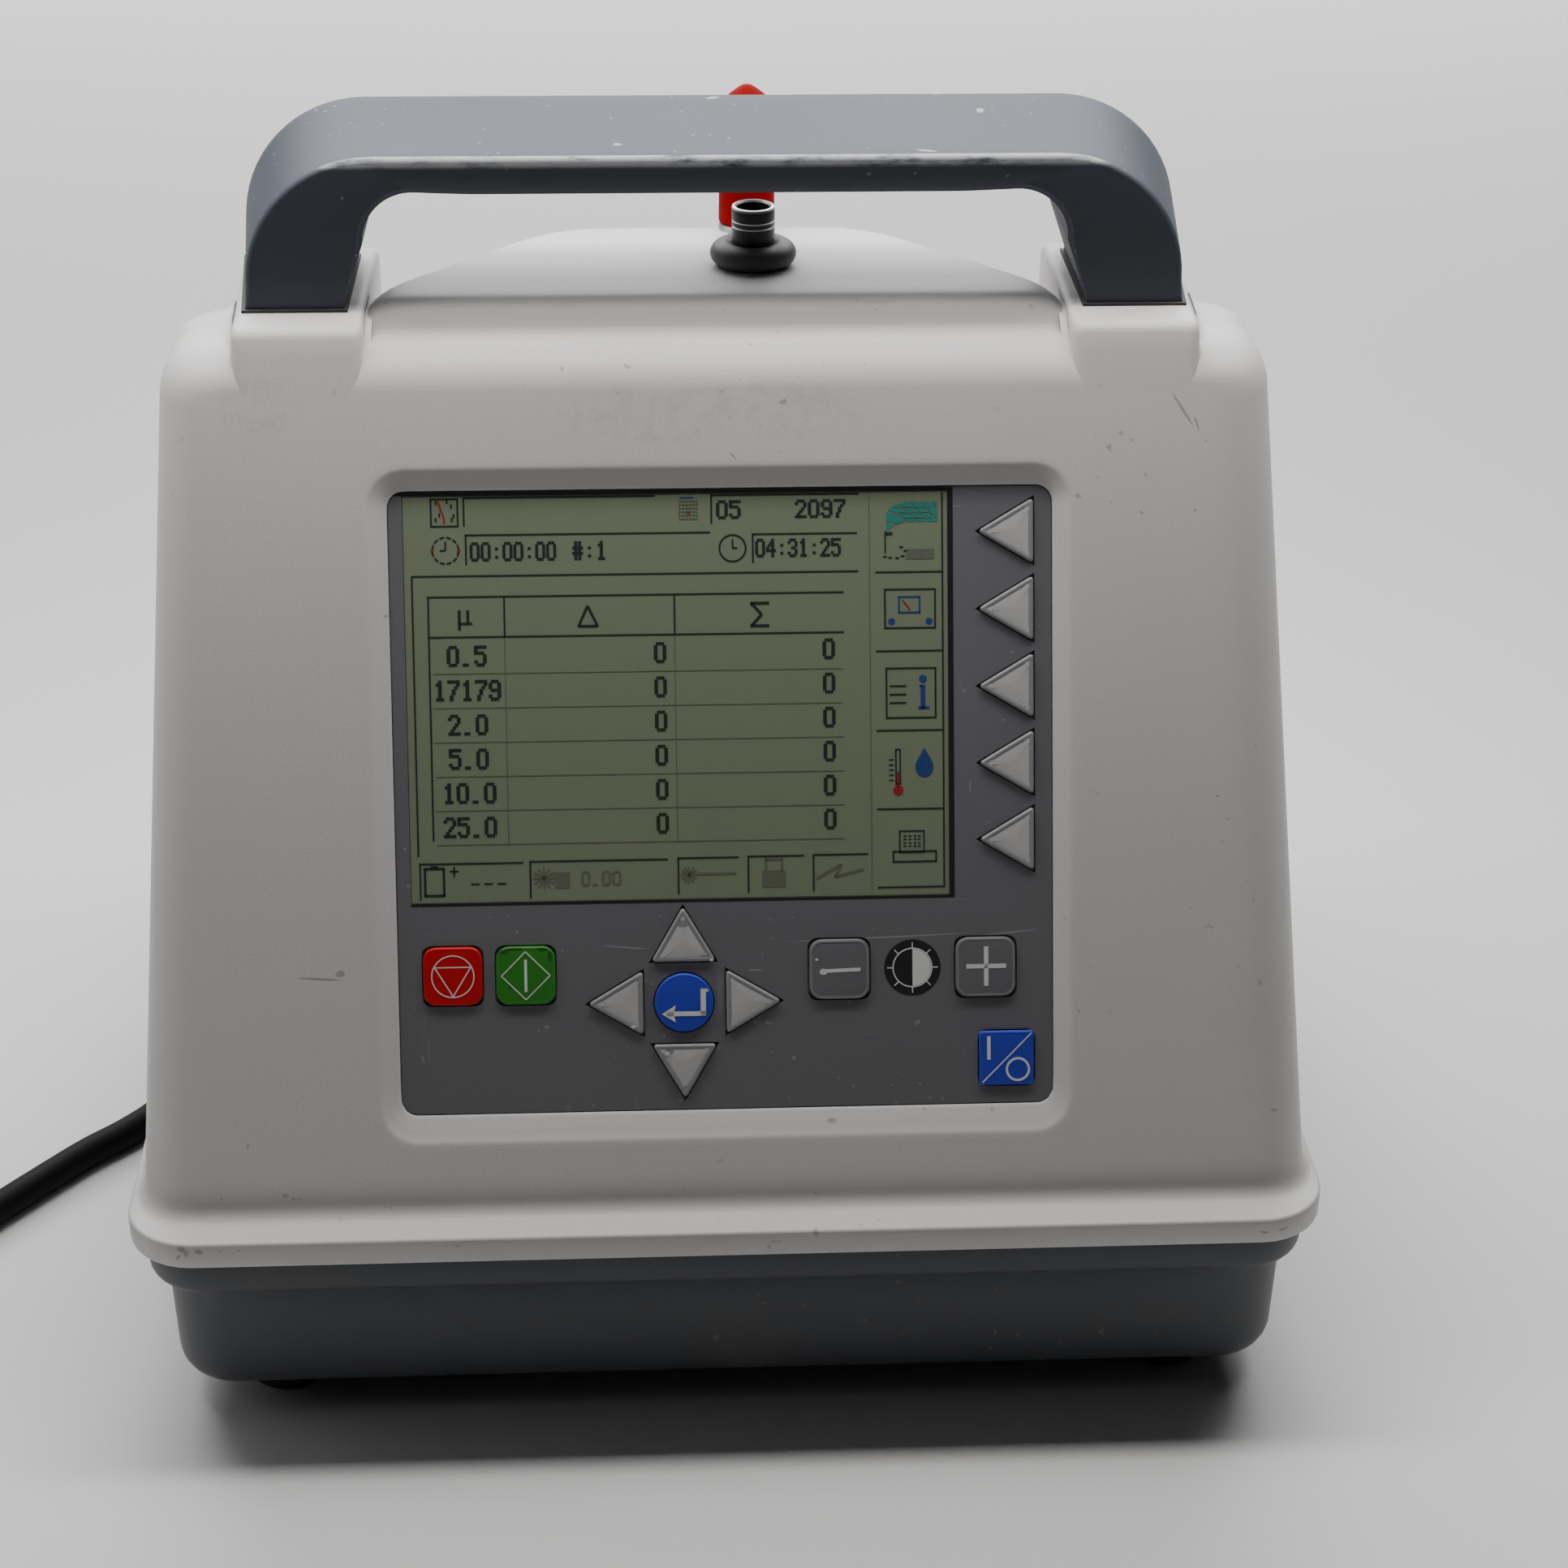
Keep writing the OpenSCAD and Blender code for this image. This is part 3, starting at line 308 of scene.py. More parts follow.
def cover_finish():
    """Pale grey moulding, knocked at the rim's corners and stained on the crown."""
    scars = [((-120.2, -97.2, 73.2), (0.25, 1.5, 1.6), (0, 0, 30)), ((-122.8, -98, 70.8), (0.25, 1.3, 0.35)),
             ((-121.9, -103.6, 58.2), (2.2, 0.5, 0.4), (0, 20, 25)),
             ((-120, -109, 56), (3.9, 0.4, 0.35), (0, 35, 10)),
             (on_face(98, 82), (0.3, 2.2, 4.4), (0, -35, 0)),
             (on_face(101, 79), (0.25, 1.2, 1.8), (0, -20, 0)),
             (on_face(-87, -36.4), (4.6, 0.4, 0.3), (0, 4, 0)),
             (on_face(-82.5, -35.4), (0.9, 0.4, 1.1), (0, 20, 0)),
             (on_face(2.6, 73.3), (0.2, 0.8, 1.1), (0, -40, 0)), (on_face(22, -69.6, 1.2), (1.0, 0.6, 0.5))]
    left_corner = [((-116.8, -112.6, 52.4), (1.1, 1.0, 0.6), (0, 12, 0), 0.6),
                   ((-115.9, -112.9, 51.4), (0.5, 0.6, 0.9), (0, 20, 0), 0.6),
                   ((-117.6, -112.6, 50.5), (0.25, 0.6, 0.8), (0, 40, 0), 0.4),
                   ((-113.2, -113, 51.9), (0.9, 0.6, 0.55), (0, 30, 0), 0.5),
                   ((-128.6, -106, 53.0), (0.7, 1.0, 0.9), (0, 0, 0), 0.5),
                   ((-108.6, -113, 51.9), (0.6, 0.5, 0.12), (0, -30, 0)),
                   ((-104.8, -113, 51.8), (0.5, 0.5, 0.12), (0, -35, 0))]
    right_corner = [((115, -113, 50.4), (0.9, 0.5, 0.3), (0, 12, 0), 0.5),
                    ((119.5, -112.4, 50.6), (1.2, 0.6, 0.25), (0, -8, 0), 0.5)]
    stains = [((-95.5, -38, 213.5), (8.5, 5, 5.5)), ((-2, -39, 211.5), (31, 5, 7)),
              ((87.5, -24.3, 227.6), (7, 2.2, 1.6))]
    return moulded("cover_plastic", (0.58, 0.566, 0.556), chips=left_corner + right_corner, scars=scars,
                   stains=stains)


def handle_finish():
    """Slate-blue moulding whose rounded front top edge is painted pale, partly rubbed wear and partly a
    painted highlight, with a few scuffs and pale specks.
    """
    f = Finish("handle_plastic")
    colour = (0.046, 0.052, 0.068)
    mottle = f.noise(18, 3)
    tone = f.mix(mottle, shade(colour, 0.94), shade(colour, 1.06))
    # the pale band on the rounded front top edge is partly rubbed wear and partly a painted highlight of that
    # edge
    edge = f.step(f.axis("Y"), -0.0196, -0.0201) * f.step(f.axis("Z"), 0.2583, 0.2595)
    rub_and_highlight = edge * f.step(f.noise(260, 4, 0.75, (0.3, 1, 1)), 0.3, 0.56)
    tone = f.mix(rub_and_highlight * 0.66, tone, (0.5, 0.51, 0.52))
    scuffs = f.marks([((0, 12.5, 264.2), (1.4, 0.6, 1.2), (0, 0, 20)),
                      ((-20.7, -13.7, 261.6), (0.9, 0.7, 1.2)),
                      ((43.9, -18.1, 261.2), (2.0, 0.5, 1.2), (0, 0, -12)),
                      ((57.5, 4.4, 263.2), (0.8, 1.3, 1.2)), ((49.1, 14.8, 264), (1.1, 0.8, 0.8))])
    tone = f.mix(scuffs * 0.6, tone, (0.42, 0.43, 0.44))
    speck = f.step(f.noise(520, 1), 0.745, 0.77)
    tone = f.mix(speck * 0.3, tone, (0.4, 0.4, 0.4))
    f.set(Base_Color=tone, Roughness=(0.55 + mottle * 0.12 - rub_and_highlight * 0.12).clip(), Specular_IOR_Level=0.36)
    f.bump(f.noise(1500, 2, 0.6) * 0.05 - scuffs * 0.06, 1.0, 0.8)
    return f.material


def panel_finish():
    """Satin film: charcoal, bluer beside the screen, with fine scratches and one long scrape."""
    f = Finish("panel_film")
    beside_screen = f.step(f.axis("X"), 0.0455, 0.0485) * f.step(f.axis("Z"), 0.112, 0.128)
    tone = f.mix(beside_screen, (0.145, 0.145, 0.155), (0.152, 0.156, 0.172))
    tone = f.mix(f.noise(22, 3), (0.132, 0.132, 0.142), tone)
    fine = (f.step(f.noise(260, 2, 0.5, (0.12, 1, 1.6)), 0.705, 0.72)
            + f.step(f.noise(240, 2, 0.5, (1.4, 0.2, 0.16)), 0.72, 0.735))
    scrape = f.marks([(on_face(33, -29.9, 0), (22, 0.5, 0.15), (0, -1.6, 0), 0.1),
                      (on_face(61, -29.3, 0), (6, 0.5, 0.17), (0, -4, 0), 0.1),
                      (on_face(6, -36.5, 0), (1.4, 0.5, 0.2), (0, 4, 0), 0.1),
                      (on_face(-22, -31, 0), (5, 0.5, 0.16), (0, 5, 0), 0.2),
                      (on_face(52.6, 2.5, 0), (0.16, 0.5, 7), (0, 3, 0), 0.2)])
    dust = f.step(f.noise(460, 1), 0.75, 0.77)
    tone = f.mix((fine * 0.16 + scrape * 0.5 + dust * 0.5).clip(), tone, (0.34, 0.34, 0.35))
    f.set(Base_Color=tone, Roughness=(0.42 + f.noise(60, 3) * 0.12 + scrape * 0.2).clip())
    f.bump(f.noise(2200, 2, 0.5) * 0.015 - scrape * 0.02 - fine * 0.004, 1.0, 0.6)
    return f.material


def screen_finish():
    """Olive liquid-crystal ground with its fine upright pixel lines under a clear window.
    A line's shade is the sine of the distance over the pitch of the dots."""
    f = Finish("screen_glass")
    lines = (f.axis("X") * (2 * math.pi / (DOT_PITCH * MM))).sine()
    rows = (f.axis("Z") * (2 * math.pi / (DOT_PITCH * MM * COS_T))).sine()
    tone = f.mix(f.noise(16, 2), (0.2, 0.238, 0.158), (0.221, 0.246, 0.162))
    tone = f.mix((lines * 0.5 + 0.5).clip() * 0.24, tone, (0.15, 0.2, 0.135))
    tone = f.mix((rows * 0.5 + 0.5).clip() * 0.1, tone, (0.16, 0.165, 0.11))
    ghost = f.step(f.noise(33, 3, 0.6, (3.0, 1, 1)), 0.5, 0.7)
    tone = f.mix(ghost * 0.12, tone, (0.14, 0.19, 0.135))
    f.set(Base_Color=tone, Roughness=0.34 + f.noise(90, 2) * 0.06, Coat_Weight=0.14, Coat_Roughness=0.16)
    f.bump(lines * 0.02, 0.05, 0.2)
    return f.material


def ink(name, colour, spread=0.1):
    """Screen or key print: even colour with a slight mottle and pinholes."""
    f = Finish(name)
    tone = f.mix(f.noise(300, 3), shade(colour, 1 - spread), shade(colour, 1 + spread))
    f.set(Base_Color=tone, Roughness=0.45 + f.noise(150, 2) * 0.08)
    f.bump(f.noise(1800, 2) * 0.02, 0.5, 0.5)
    return f.material


def worn_key(name, colour, under, wear, spots=(), rough=0.42):
    """Printed key top: paint that has come off in ragged patches, down to the colour under it."""
    f = Finish(name)
    tone = f.mix(f.noise(120, 3), shade(colour, 0.94), shade(colour, 1.05))
    patch = f.step(f.noise(170, 4, 0.62), 1 - wear, 1.03 - wear)
    if spots:
        patch = (patch + f.marks(spots)).clip()
    tone = f.mix(patch * 0.85, tone, under)
    grime = f.step(f.noise(700, 3, 0.7), 0.6, 0.72)
    tone = f.mix(grime * 0.08, tone, shade(colour, 0.35))
    f.set(Base_Color=tone, Roughness=(rough + patch * 0.2 + f.noise(90, 2) * 0.1).clip(),
          Specular_IOR_Level=0.3)
    f.bump(f.noise(1400, 3) * 0.03 - patch * 0.06, 0.8, 0.7)
    return f.material


def rubber(name, colour=(0.034, 0.034, 0.037), rough=0.62, dusty=0.25, sheen=0.3):
    """Matt black rubber or vinyl with dust in its pores."""
    f = Finish(name)
    dust = f.step(f.noise(90, 4, 0.65), 0.52, 0.78)
    clean = f.mix(f.noise(40, 2), shade(colour, 0.8), shade(colour, 1.3))
    f.set(Base_Color=f.mix(dust * dusty, clean, (0.16, 0.15, 0.14)), Roughness=(rough + dust * 0.18).clip(),
          Specular_IOR_Level=sheen)
    f.bump(f.noise(1600, 3, 0.6), 0.04, 0.6)
    return f.material


def bare_metal(name, colour=(0.62, 0.62, 0.63), rough=0.3, stretch=(1, 1, 18)):
    """Turned or brushed metal: fine lines one way and dull patches."""
    f = Finish(name)
    lines = f.noise(900, 3, 0.6, stretch)
    dull = f.noise(45, 4)
    tone = f.mix(dull * 0.35 + lines * 0.25, colour, shade(colour, 0.62))
    f.set(Base_Color=tone, Roughness=(rough + lines * 0.14 + dull * 0.12).clip(), Metallic=1.0)
    f.bump(lines, 0.012, 0.7)
    return f.material


def tube_finish():
    """Black anodised tube with two bare rings and a bare lip."""
    f = Finish("tube_black")
    z = f.axis("Z")
    soft = 0.04 * MM
    rings = [f.step(z, low * MM - soft, low * MM + soft) * f.step(z, high * MM + soft, high * MM - soft)
             for low, high in (*TUBE_RINGS, (TUBE_TOP - 0.52, TUBE_TOP + 1.7))]
    bare = rings[0] + rings[1] + rings[2]
    wear = f.step(f.noise(300, 3, 0.6), 0.62, 0.7) * 0.25
    mask = (bare + wear).clip()
    tone = f.mix(mask, (0.036, 0.036, 0.039), (0.72, 0.72, 0.72))
    f.set(Base_Color=tone, Roughness=0.36 + f.noise(240, 2) * 0.1, Metallic=mask)
    f.bump(f.noise(1500, 2), 0.01, 0.6)
    return f.material


def cap_finish():
    """Soft red vinyl: deep colour, satin skin and finger dust."""
    f = Finish("cap_vinyl")
    tone = f.mix(f.noise(70, 3), (0.17, 0.0008, 0.0008), (0.23, 0.001, 0.001))
    dust = f.step(f.noise(160, 4, 0.7), 0.56, 0.8)
    tone = f.mix(dust * 0.05, tone, (0.3, 0.05, 0.045))
    f.set(Base_Color=tone, Roughness=(0.55 + dust * 0.2).clip(), Specular_IOR_Level=0.04)
    f.bump(f.noise(220, 2), 0.06, 0.5)
    return f.material


def board_finish():
    """Green solder mask with paler copper runs."""
    f = Finish("board_green")
    runs = f.step(f.noise(190, 1, 0.4, (1, 0.1, 1)), 0.53, 0.56)
    tone = f.mix(runs * 0.5, (0.012, 0.085, 0.035), (0.05, 0.2, 0.08))
    f.set(Base_Color=tone, Roughness=0.35 + runs * 0.1)
    f.bump(runs, 0.04, 0.7)
    return f.material


def floor_finish():
    """Pale even card."""
    f = Finish("studio_floor")
    tone = f.mix(f.noise(3, 2), (0.77, 0.765, 0.76), (0.8, 0.795, 0.79))
    f.set(Base_Color=tone, Roughness=0.85)
    return f.material


# ---------- mesh helpers ----------

def grid_faces(rows, columns, start=0):
    """Quads of a grid of points whose numbers run along each row; each row is closed."""
    i, k = np.meshgrid(np.arange(rows - 1), np.arange(columns), indexing="ij")
    j = (k + 1) % columns
    return (np.stack([i * columns + k, i * columns + j, (i + 1) * columns + j, (i + 1) * columns + k], -1)
            .reshape(-1, 4) + start)


def build_piece(name, points, faces, materials, slots=None, smooth=35, turn_out=True):
    """Makes the mesh from points in mm and faces; merges doubles so that poles and seams close."""
    mesh = bpy.data.meshes.new(name)
    mesh.from_pydata((np.asarray(points, float) * MM).tolist(), [], [list(f) for f in faces])
    for m in (materials if isinstance(materials, (list, tuple)) else [materials]):
        mesh.materials.append(m)
    if slots is not None:
        mesh.polygons.foreach_set("material_index", np.asarray(slots, np.int32))
    shape = bmesh.new()
    shape.from_mesh(mesh)
    bmesh.ops.remove_doubles(shape, verts=shape.verts, dist=2e-6)
    bmesh.ops.dissolve_degenerate(shape, dist=1e-7, edges=shape.edges)
    if turn_out:
        bmesh.ops.recalc_face_normals(shape, faces=shape.faces)
    shape.to_mesh(mesh)
    shape.free()
    mesh.shade_smooth()
    mesh.set_sharp_from_angle(angle=math.radians(smooth))
    piece = bpy.data.objects.new(name, mesh)
    bpy.context.scene.collection.objects.link(piece)
    return piece


def dress(piece, body, slot, *nodes):
    """Hangs the piece on its body, in place of the CAD nodes that it stands for."""
    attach(piece, body)
    if nodes:
        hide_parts(*nodes)
    return piece


def turned(name, profile, at, material):
    """A profile of (radius, height) points carried round the upright axis through at."""
    profile, sides = np.array(profile, float), 72
    a = np.arange(sides) * 2 * math.pi / sides
    r, z = profile[:, :1], profile[:, 1:]
    points = np.stack([at[0] + r * np.cos(a), at[1] + r * np.sin(a), z + 0 * a], -1)
    return build_piece(name, points.reshape(-1, 3), grid_faces(len(profile), sides), material)


def round_outline(half_w, half_h, r, steps=6):
    """Points of a round-cornered rectangle round the origin, anticlockwise."""
    a = np.concatenate([np.linspace(c * 90, c * 90 + 90, steps + 1) for c in range(4)])
    sx = np.repeat([1, -1, -1, 1], steps + 1)
    sy = np.repeat([1, 1, -1, -1], steps + 1)
    a = np.radians(a)
    return np.stack([sx * (half_w - r) + r * np.cos(a), sy * (half_h - r) + r * np.sin(a)], -1)


def round_polygon(corners, r, steps=5):
    """Corners of a convex polygon, anticlockwise, rounded to radius r."""
    p = np.array(corners, float)
    out = []
    for i, here in enumerate(p):
        before, after = p[i - 1] - here, p[(i + 1) % len(p)] - here
        before, after = before / np.linalg.norm(before), after / np.linalg.norm(after)
        half = math.acos(np.clip(before @ after, -1, 1)) / 2
        middle = (before + after) / np.linalg.norm(before + after)
        centre = here + middle * r / math.sin(half)
        a0 = math.atan2(*(-np.array([before[1], -before[0]]))[::-1])
        a1 = math.atan2(*(-np.array([-after[1], after[0]]))[::-1])
        a1 += 2 * math.pi * (a1 < a0)
        a = np.linspace(a0, a1, steps + 1)
        out.append(centre + r * np.stack([np.cos(a), np.sin(a)], -1))
    return np.concatenate(out)


def shrink(outline, t):
    """An outline moved inwards by t along its own normals."""
    along = np.roll(outline, -1, 0) - np.roll(outline, 1, 0)
    length = np.linalg.norm(along, axis=1, keepdims=True)
    along = along / np.where(length < 1e-9, 1, length)
    return outline + t * np.stack([-along[:, 1], along[:, 0]], -1)


def to_face(points):
    """Points (u, v, w) of the panel's frame as points of the object."""
    p = np.asarray(points, float)
    return np.stack([p[..., 0], FACE_Y + p[..., 1] * SIN_T - p[..., 2] * COS_T,
                     FACE_Z + p[..., 1] * COS_T + p[..., 2] * SIN_T], -1)


# ---------- cover ----------

def front_y(z, t):
    """y of the front: upright at its foot, then the tilted face, then the shoulder's arc, all inset by t."""
    roll = TAN_T * np.maximum(0, ROLL_Z - z) ** 2 / (2 * ROLL_H)
    face = FACE_LINE_Y + (z - FACE_Z) * TAN_T + t / COS_T + roll
    arc = SHOULDER_Y - np.sqrt(np.maximum(0, (SHOULDER_R - t) ** 2 - (z - SHOULDER_Z) ** 2))
    return np.where(z < SHOULDER_Z + (SHOULDER_R - t) * SIN_T, face, arc)


def rear_y(z, t):
    """y of the rear: a leaning line that turns over into the crown's slope."""
    line = REAR_BASE - (z - RIM_TOP) * REAR_SLOPE - 1.05 * t
    crown = np.interp(z + 1.1 * t, CROWN[:, 0], CROWN[:, 1])
    return np.where(z + 1.1 * t < CROWN[0, 0], line, np.minimum(line, crown))


def side_x(z, t):
    """Half width: a leaning line, then the side's arc."""
    arc = SIDE_X + np.sqrt(np.maximum(0, (SIDE_R - t) ** 2 - (z - SIDE_Z) ** 2)) - SIDE_R
    return np.where(z < SIDE_Z, WALL_HW - SIDE_SLOPE * (z - RIM_TOP) - t, arc)


N_OUT, N_FIXED, N_ARC, N_SIDE = 8, 101, 7, 40
N_FRONT = 2 * N_OUT + N_FIXED
N_RING = 2 * (N_FRONT + N_SIDE) + 4 * N_ARC


def ring_points(hw, y0, y1, r, z):
    """One level section of a shell, anticlockwise from its front left: straight runs joined by arcs.
    The middle of the front and rear runs keeps its columns at the same x in every section."""
    reach = hw - r
    fixed = min(FIXED_X, reach - 4)
    run = np.concatenate([np.linspace(-reach, -fixed, N_OUT, endpoint=False),
                          np.linspace(-fixed, fixed, N_FIXED), np.linspace(fixed, reach, N_OUT + 1)[1:]])
    side = np.linspace(y0 + r, y1 - r, N_SIDE)
    turn = np.radians(np.arange(1, N_ARC + 1) * 90 / (N_ARC + 1))
    arcs = [(reach, y0 + r, -math.pi / 2), (reach, y1 - r, 0), (-reach, y1 - r, math.pi / 2),
            (-reach, y0 + r, math.pi)]
    arc_xy = [np.stack([cx + r * np.cos(turn + a), cy + r * np.sin(turn + a)], -1) for cx, cy, a in arcs]
    front, rear = np.stack([run, 0 * run + y0], -1), np.stack([run[::-1], 0 * run + y1], -1)
    right, left = np.stack([0 * side + hw, side], -1), np.stack([0 * side - hw, side[::-1]], -1)
    parts = [front, arc_xy[0], right, arc_xy[1], rear, arc_xy[2], left, arc_xy[3]]
    xy = np.concatenate(parts)
    return np.concatenate([xy, np.full((len(xy), 1), z)], 1)


def cap_grid(points, ring_start, rows, start):
    """Closes a ring with rows strips, straight from each point of its front half to the one behind it."""
    first = N_ARC + N_SIDE // 2
    front = np.concatenate([np.arange(N_RING - first, N_RING), np.arange(0, N_FRONT + first)])
    back = (2 * N_FRONT + 2 * N_ARC + N_SIDE - 1 - front) % N_RING
    a, b = points[ring_start + front], points[ring_start + back]
    t = np.linspace(0, 1, rows + 1)[1:-1, None, None]
    inner = (1 - t) * a[None] + t * b[None]
    middle = start + np.arange(inner.shape[0] * len(front)).reshape(-1, len(front))
    numbers = np.concatenate([[ring_start + front], middle, [ring_start + back]])
    f = np.stack([numbers[:-1, :-1], numbers[:-1, 1:], numbers[1:, 1:], numbers[1:, :-1]], -1).reshape(-1, 4)
    return inner.reshape(-1, 3), f


def hood_height(x, y):
    """Height of the hood over (x, y): a falling plane, less radius * (1 - root of (1 - s squared)) round its
    edge, where s grows with the distance outside its crest, and less a straight skirt beyond that."""
    p, q = HOOD_CREST, np.roll(HOOD_CREST, -1, 0)
    d = q - p
    n = np.stack([-d[:, 1], d[:, 0]], -1) / np.linalg.norm(d, axis=1)[:, None]
    inside = ((x[..., None] - p[:, 0]) * n[:, 0] + (y[..., None] - p[:, 1]) * n[:, 1])
    # a soft minimum rounds the corners between neighbouring edges
    near = -np.log(np.exp(-inside / HOOD_CORNER).sum(-1)) * HOOD_CORNER
    s = math.sin(math.radians(24)) - near / HOOD_EDGE
    limit = math.sin(math.radians(70))
    round_edge = HOOD_EDGE * (1 - np.sqrt(1 - np.clip(s, 0, limit) ** 2))
    skirt = np.maximum(0, s - limit) * HOOD_EDGE * 2.6
    return HOOD_Z - HOOD_FALL * (y - HOOD_Y) - round_edge - skirt


def soft_max(a, b, k):
    """The larger of a and b, with a rounded inner corner of size k."""
    h = np.clip(0.5 + 0.5 * (a - b) / k, 0, 1)
    return b + (a - b) * h + k * h * (1 - h)


def cover_section(z, t_front=0.0, t=0.0, rear_limit=1e9):
    """Level section of the cover at height z, inset by t_front at its front and by t elsewhere."""
    y0 = float(front_y(z, t_front))
    y1 = min(float(rear_y(z, t)), rear_limit)
    hw = float(side_x(z, t))
    return ring_points(hw, y0, y1, min(EDGE_R - t, (y1 - y0) / 2 - 0.5), z)


def rim_section(d, z):
    """Level section of the rim at height z, inset by d."""
    return ring_points(RIM_HW - d, -RIM_HD + d, RIM_HD - d, RIM_R - d, z)


def sweep_section(h):
    """Section of the concave sweep from the walls out to the rim, h above it: a quarter circle in height,
    5 mm high at the rear and the sides and 3 mm high at the front."""
    g = 1 - math.sqrt(1 - (1 - h / SWEEP_R) ** 2)
    front_g = 1 - math.sqrt(1 - max(0, 1 - h / FRONT_SWEEP_R) ** 2)
    z = RIM_TOP + h
    return ring_points(float(side_x(z, 0)) + SIDE_SWEEP * g, float(front_y(z, 0)) - FRONT_SWEEP_R * front_g,
                       float(rear_y(z, 0)) + SWEEP_R * g, EDGE_R + g, z)


def loop_of(row0, row1, k0, k1):
    """Ring-and-column pairs round a rectangle of the grid, anticlockwise from outside."""
    bottom = [(row0, k) for k in range(k0, k1)]
    right = [(i, k1) for i in range(row0, row1)]
    top = [(row1, k) for k in range(k1, k0, -1)]
    left = [(i, k0) for i in range(row1, row0, -1)]
    return bottom + right + top + left


def onto_outline(uv, centre, half, r):
    """Carries points on a frame outwards or inwards onto a round-cornered rectangle."""
    p = uv - np.array(centre)
    span = np.array([np.abs(p[:, 0]).max(), np.abs(p[:, 1]).max()])
    q = p / span
    q = q / np.abs(q).max(1, keepdims=True) * np.array(half)
    c = np.clip(q, -(np.array(half) - r), np.array(half) - r)
    d = q - c
    length = np.linalg.norm(d, axis=1, keepdims=True)
    return c + d / np.where(length < 1e-9, 1, length) * r + np.array(centre)


def make_cover(material):
    """Rings from the inner roof down inside, out under the rim, up the outside and over the top.
    The panel's recess and the rear pocket are patches of rings set into the front and rear."""
    front_wall, rear_limit = 7, 81
    rings = [cover_section(z, front_wall, WALL, rear_limit) for z in (215.5, 205, 190, 150, 110, 90, 70, 58)]
    rings += [ring_points(122, -102.2, 99.85, 10, z) for z in (52, COVER_BOTTOM)]
    for a in np.radians([0, 30, 60, 90]):
        rings.append(rim_section(RIM_EDGE * (1 - math.sin(a)), COVER_BOTTOM + RIM_EDGE * (1 - math.cos(a))))
    for a in np.radians([0, 30, 60, 90]):
        rings.append(rim_section(RIM_EDGE * (1 - math.cos(a)), RIM_TOP - RIM_EDGE * (1 - math.sin(a))))
    rings += [sweep_section(SWEEP_R * (1 - math.sin(math.radians(a))))
              for a in (90, 78, 66, 54, 42, 30, 20, 10, 0)]
    levels = np.unique(np.round(np.concatenate([
        [60, 61.5, 63, REAR_CUT_Z[1], *FACE_CUT_Z, 207, 209], np.arange(68, 106, 4), np.arange(112, 188, 4),
        np.arange(189, 205, 1.2), SHOULDER_Z + SHOULDER_R * np.sin(np.radians(np.arange(0, 91, 6))),
        np.arange(206, 223, 0.7)]), 3))
    level_at = len(rings)
    rings += [cover_section(z) for z in levels]
    points = np.concatenate(rings)
    count = len(rings)
    faces = grid_faces(count, N_RING)

    def row(z):
        """The number of the outer ring nearest to height z."""
        return level_at + int(np.argmin(abs(levels - z)))

    extra_points, extra_faces = [], []
    start = len(points)
    front_k = (N_OUT, N_OUT + N_FIXED - 1)
    rear_first = N_FRONT + 2 * N_ARC + N_SIDE
    rear_k = (rear_first + N_FRONT // 2 + 2, rear_first + N_FRONT - 4)

    def patch(loop, outlines, to_uv, from_uvw):
        """Rings of one patch, from the hole's edge inwards; the last one closes to a point."""
        nonlocal start
        edge = np.array([i * N_RING + k % N_RING for i, k in loop])
        uv = to_uv(points[edge])
        made = [from_uvw(onto_outline(uv, c, half, r), w) for c, half, r, w in outlines]
        n = len(edge)
        numbers = np.concatenate([[edge], start + np.arange(n * len(made)).reshape(-1, n)])
        j = np.roll(np.arange(n), -1)
        f = np.stack([numbers[:-1], numbers[:-1][:, j], numbers[1:][:, j], numbers[1:]], -1).reshape(-1, 4)
        extra_points.extend(made)
        extra_faces.append(f)
        start += n * len(made)

    def grown(g, w):
        """The bezel's outline moved outwards by g, at height w over the panel."""
        return (BEZEL_AT, (BEZEL_HALF[0] + g, BEZEL_HALF[1] + g), BEZEL_R + g, w)

    pocket, pocket_r = np.array(PANEL_HALF) + 0.2, PANEL_R + 0.2
    dot, dot_r = (0.0001, 0.0001), 0.00005
    outlines = [grown(2.0, 2.2), grown(0.9, 2.2), grown(0.35, 2.15), grown(-0.1, 2.0), grown(-0.6, 1.74)]
    for s in (0.35, 0.6, 0.85, 0.97):
        outlines.append((np.array(BEZEL_AT) * (1 - s), np.array(BEZEL_HALF) * (1 - s) + pocket * s,
                         BEZEL_R * (1 - s) + pocket_r * s, 2.06 * (1 - s) + 0.02))
    outlines += [((0, 0), pocket, pocket_r, -0.12), ((0, 0), pocket, pocket_r, POCKET_W),
                 ((0, 0), (40, 38), 3, POCKET_W), ((0, 0), dot, dot_r, POCKET_W)]
    patch(loop_of(row(FACE_CUT_Z[0]), row(FACE_CUT_Z[1]), *front_k), outlines,
          lambda p: np.stack([p[:, 0], (p[:, 1] - FACE_Y) * SIN_T + (p[:, 2] - FACE_Z) * COS_T], -1),
          lambda uv, w: to_face(np.column_stack([uv, np.full(len(uv), w)])))

    def from_rear(xz, depth):
        """Points that far into the leaning rear wall; from a depth of 5 on, the pocket's flat floor."""
        plane = REAR_BASE - (xz[:, 1] - RIM_TOP) * REAR_SLOPE
        y = plane - depth if depth < 5 else np.full(len(xz), REAR_FLAT_Y)
        return np.column_stack([xz[:, 0], y, xz[:, 1]])

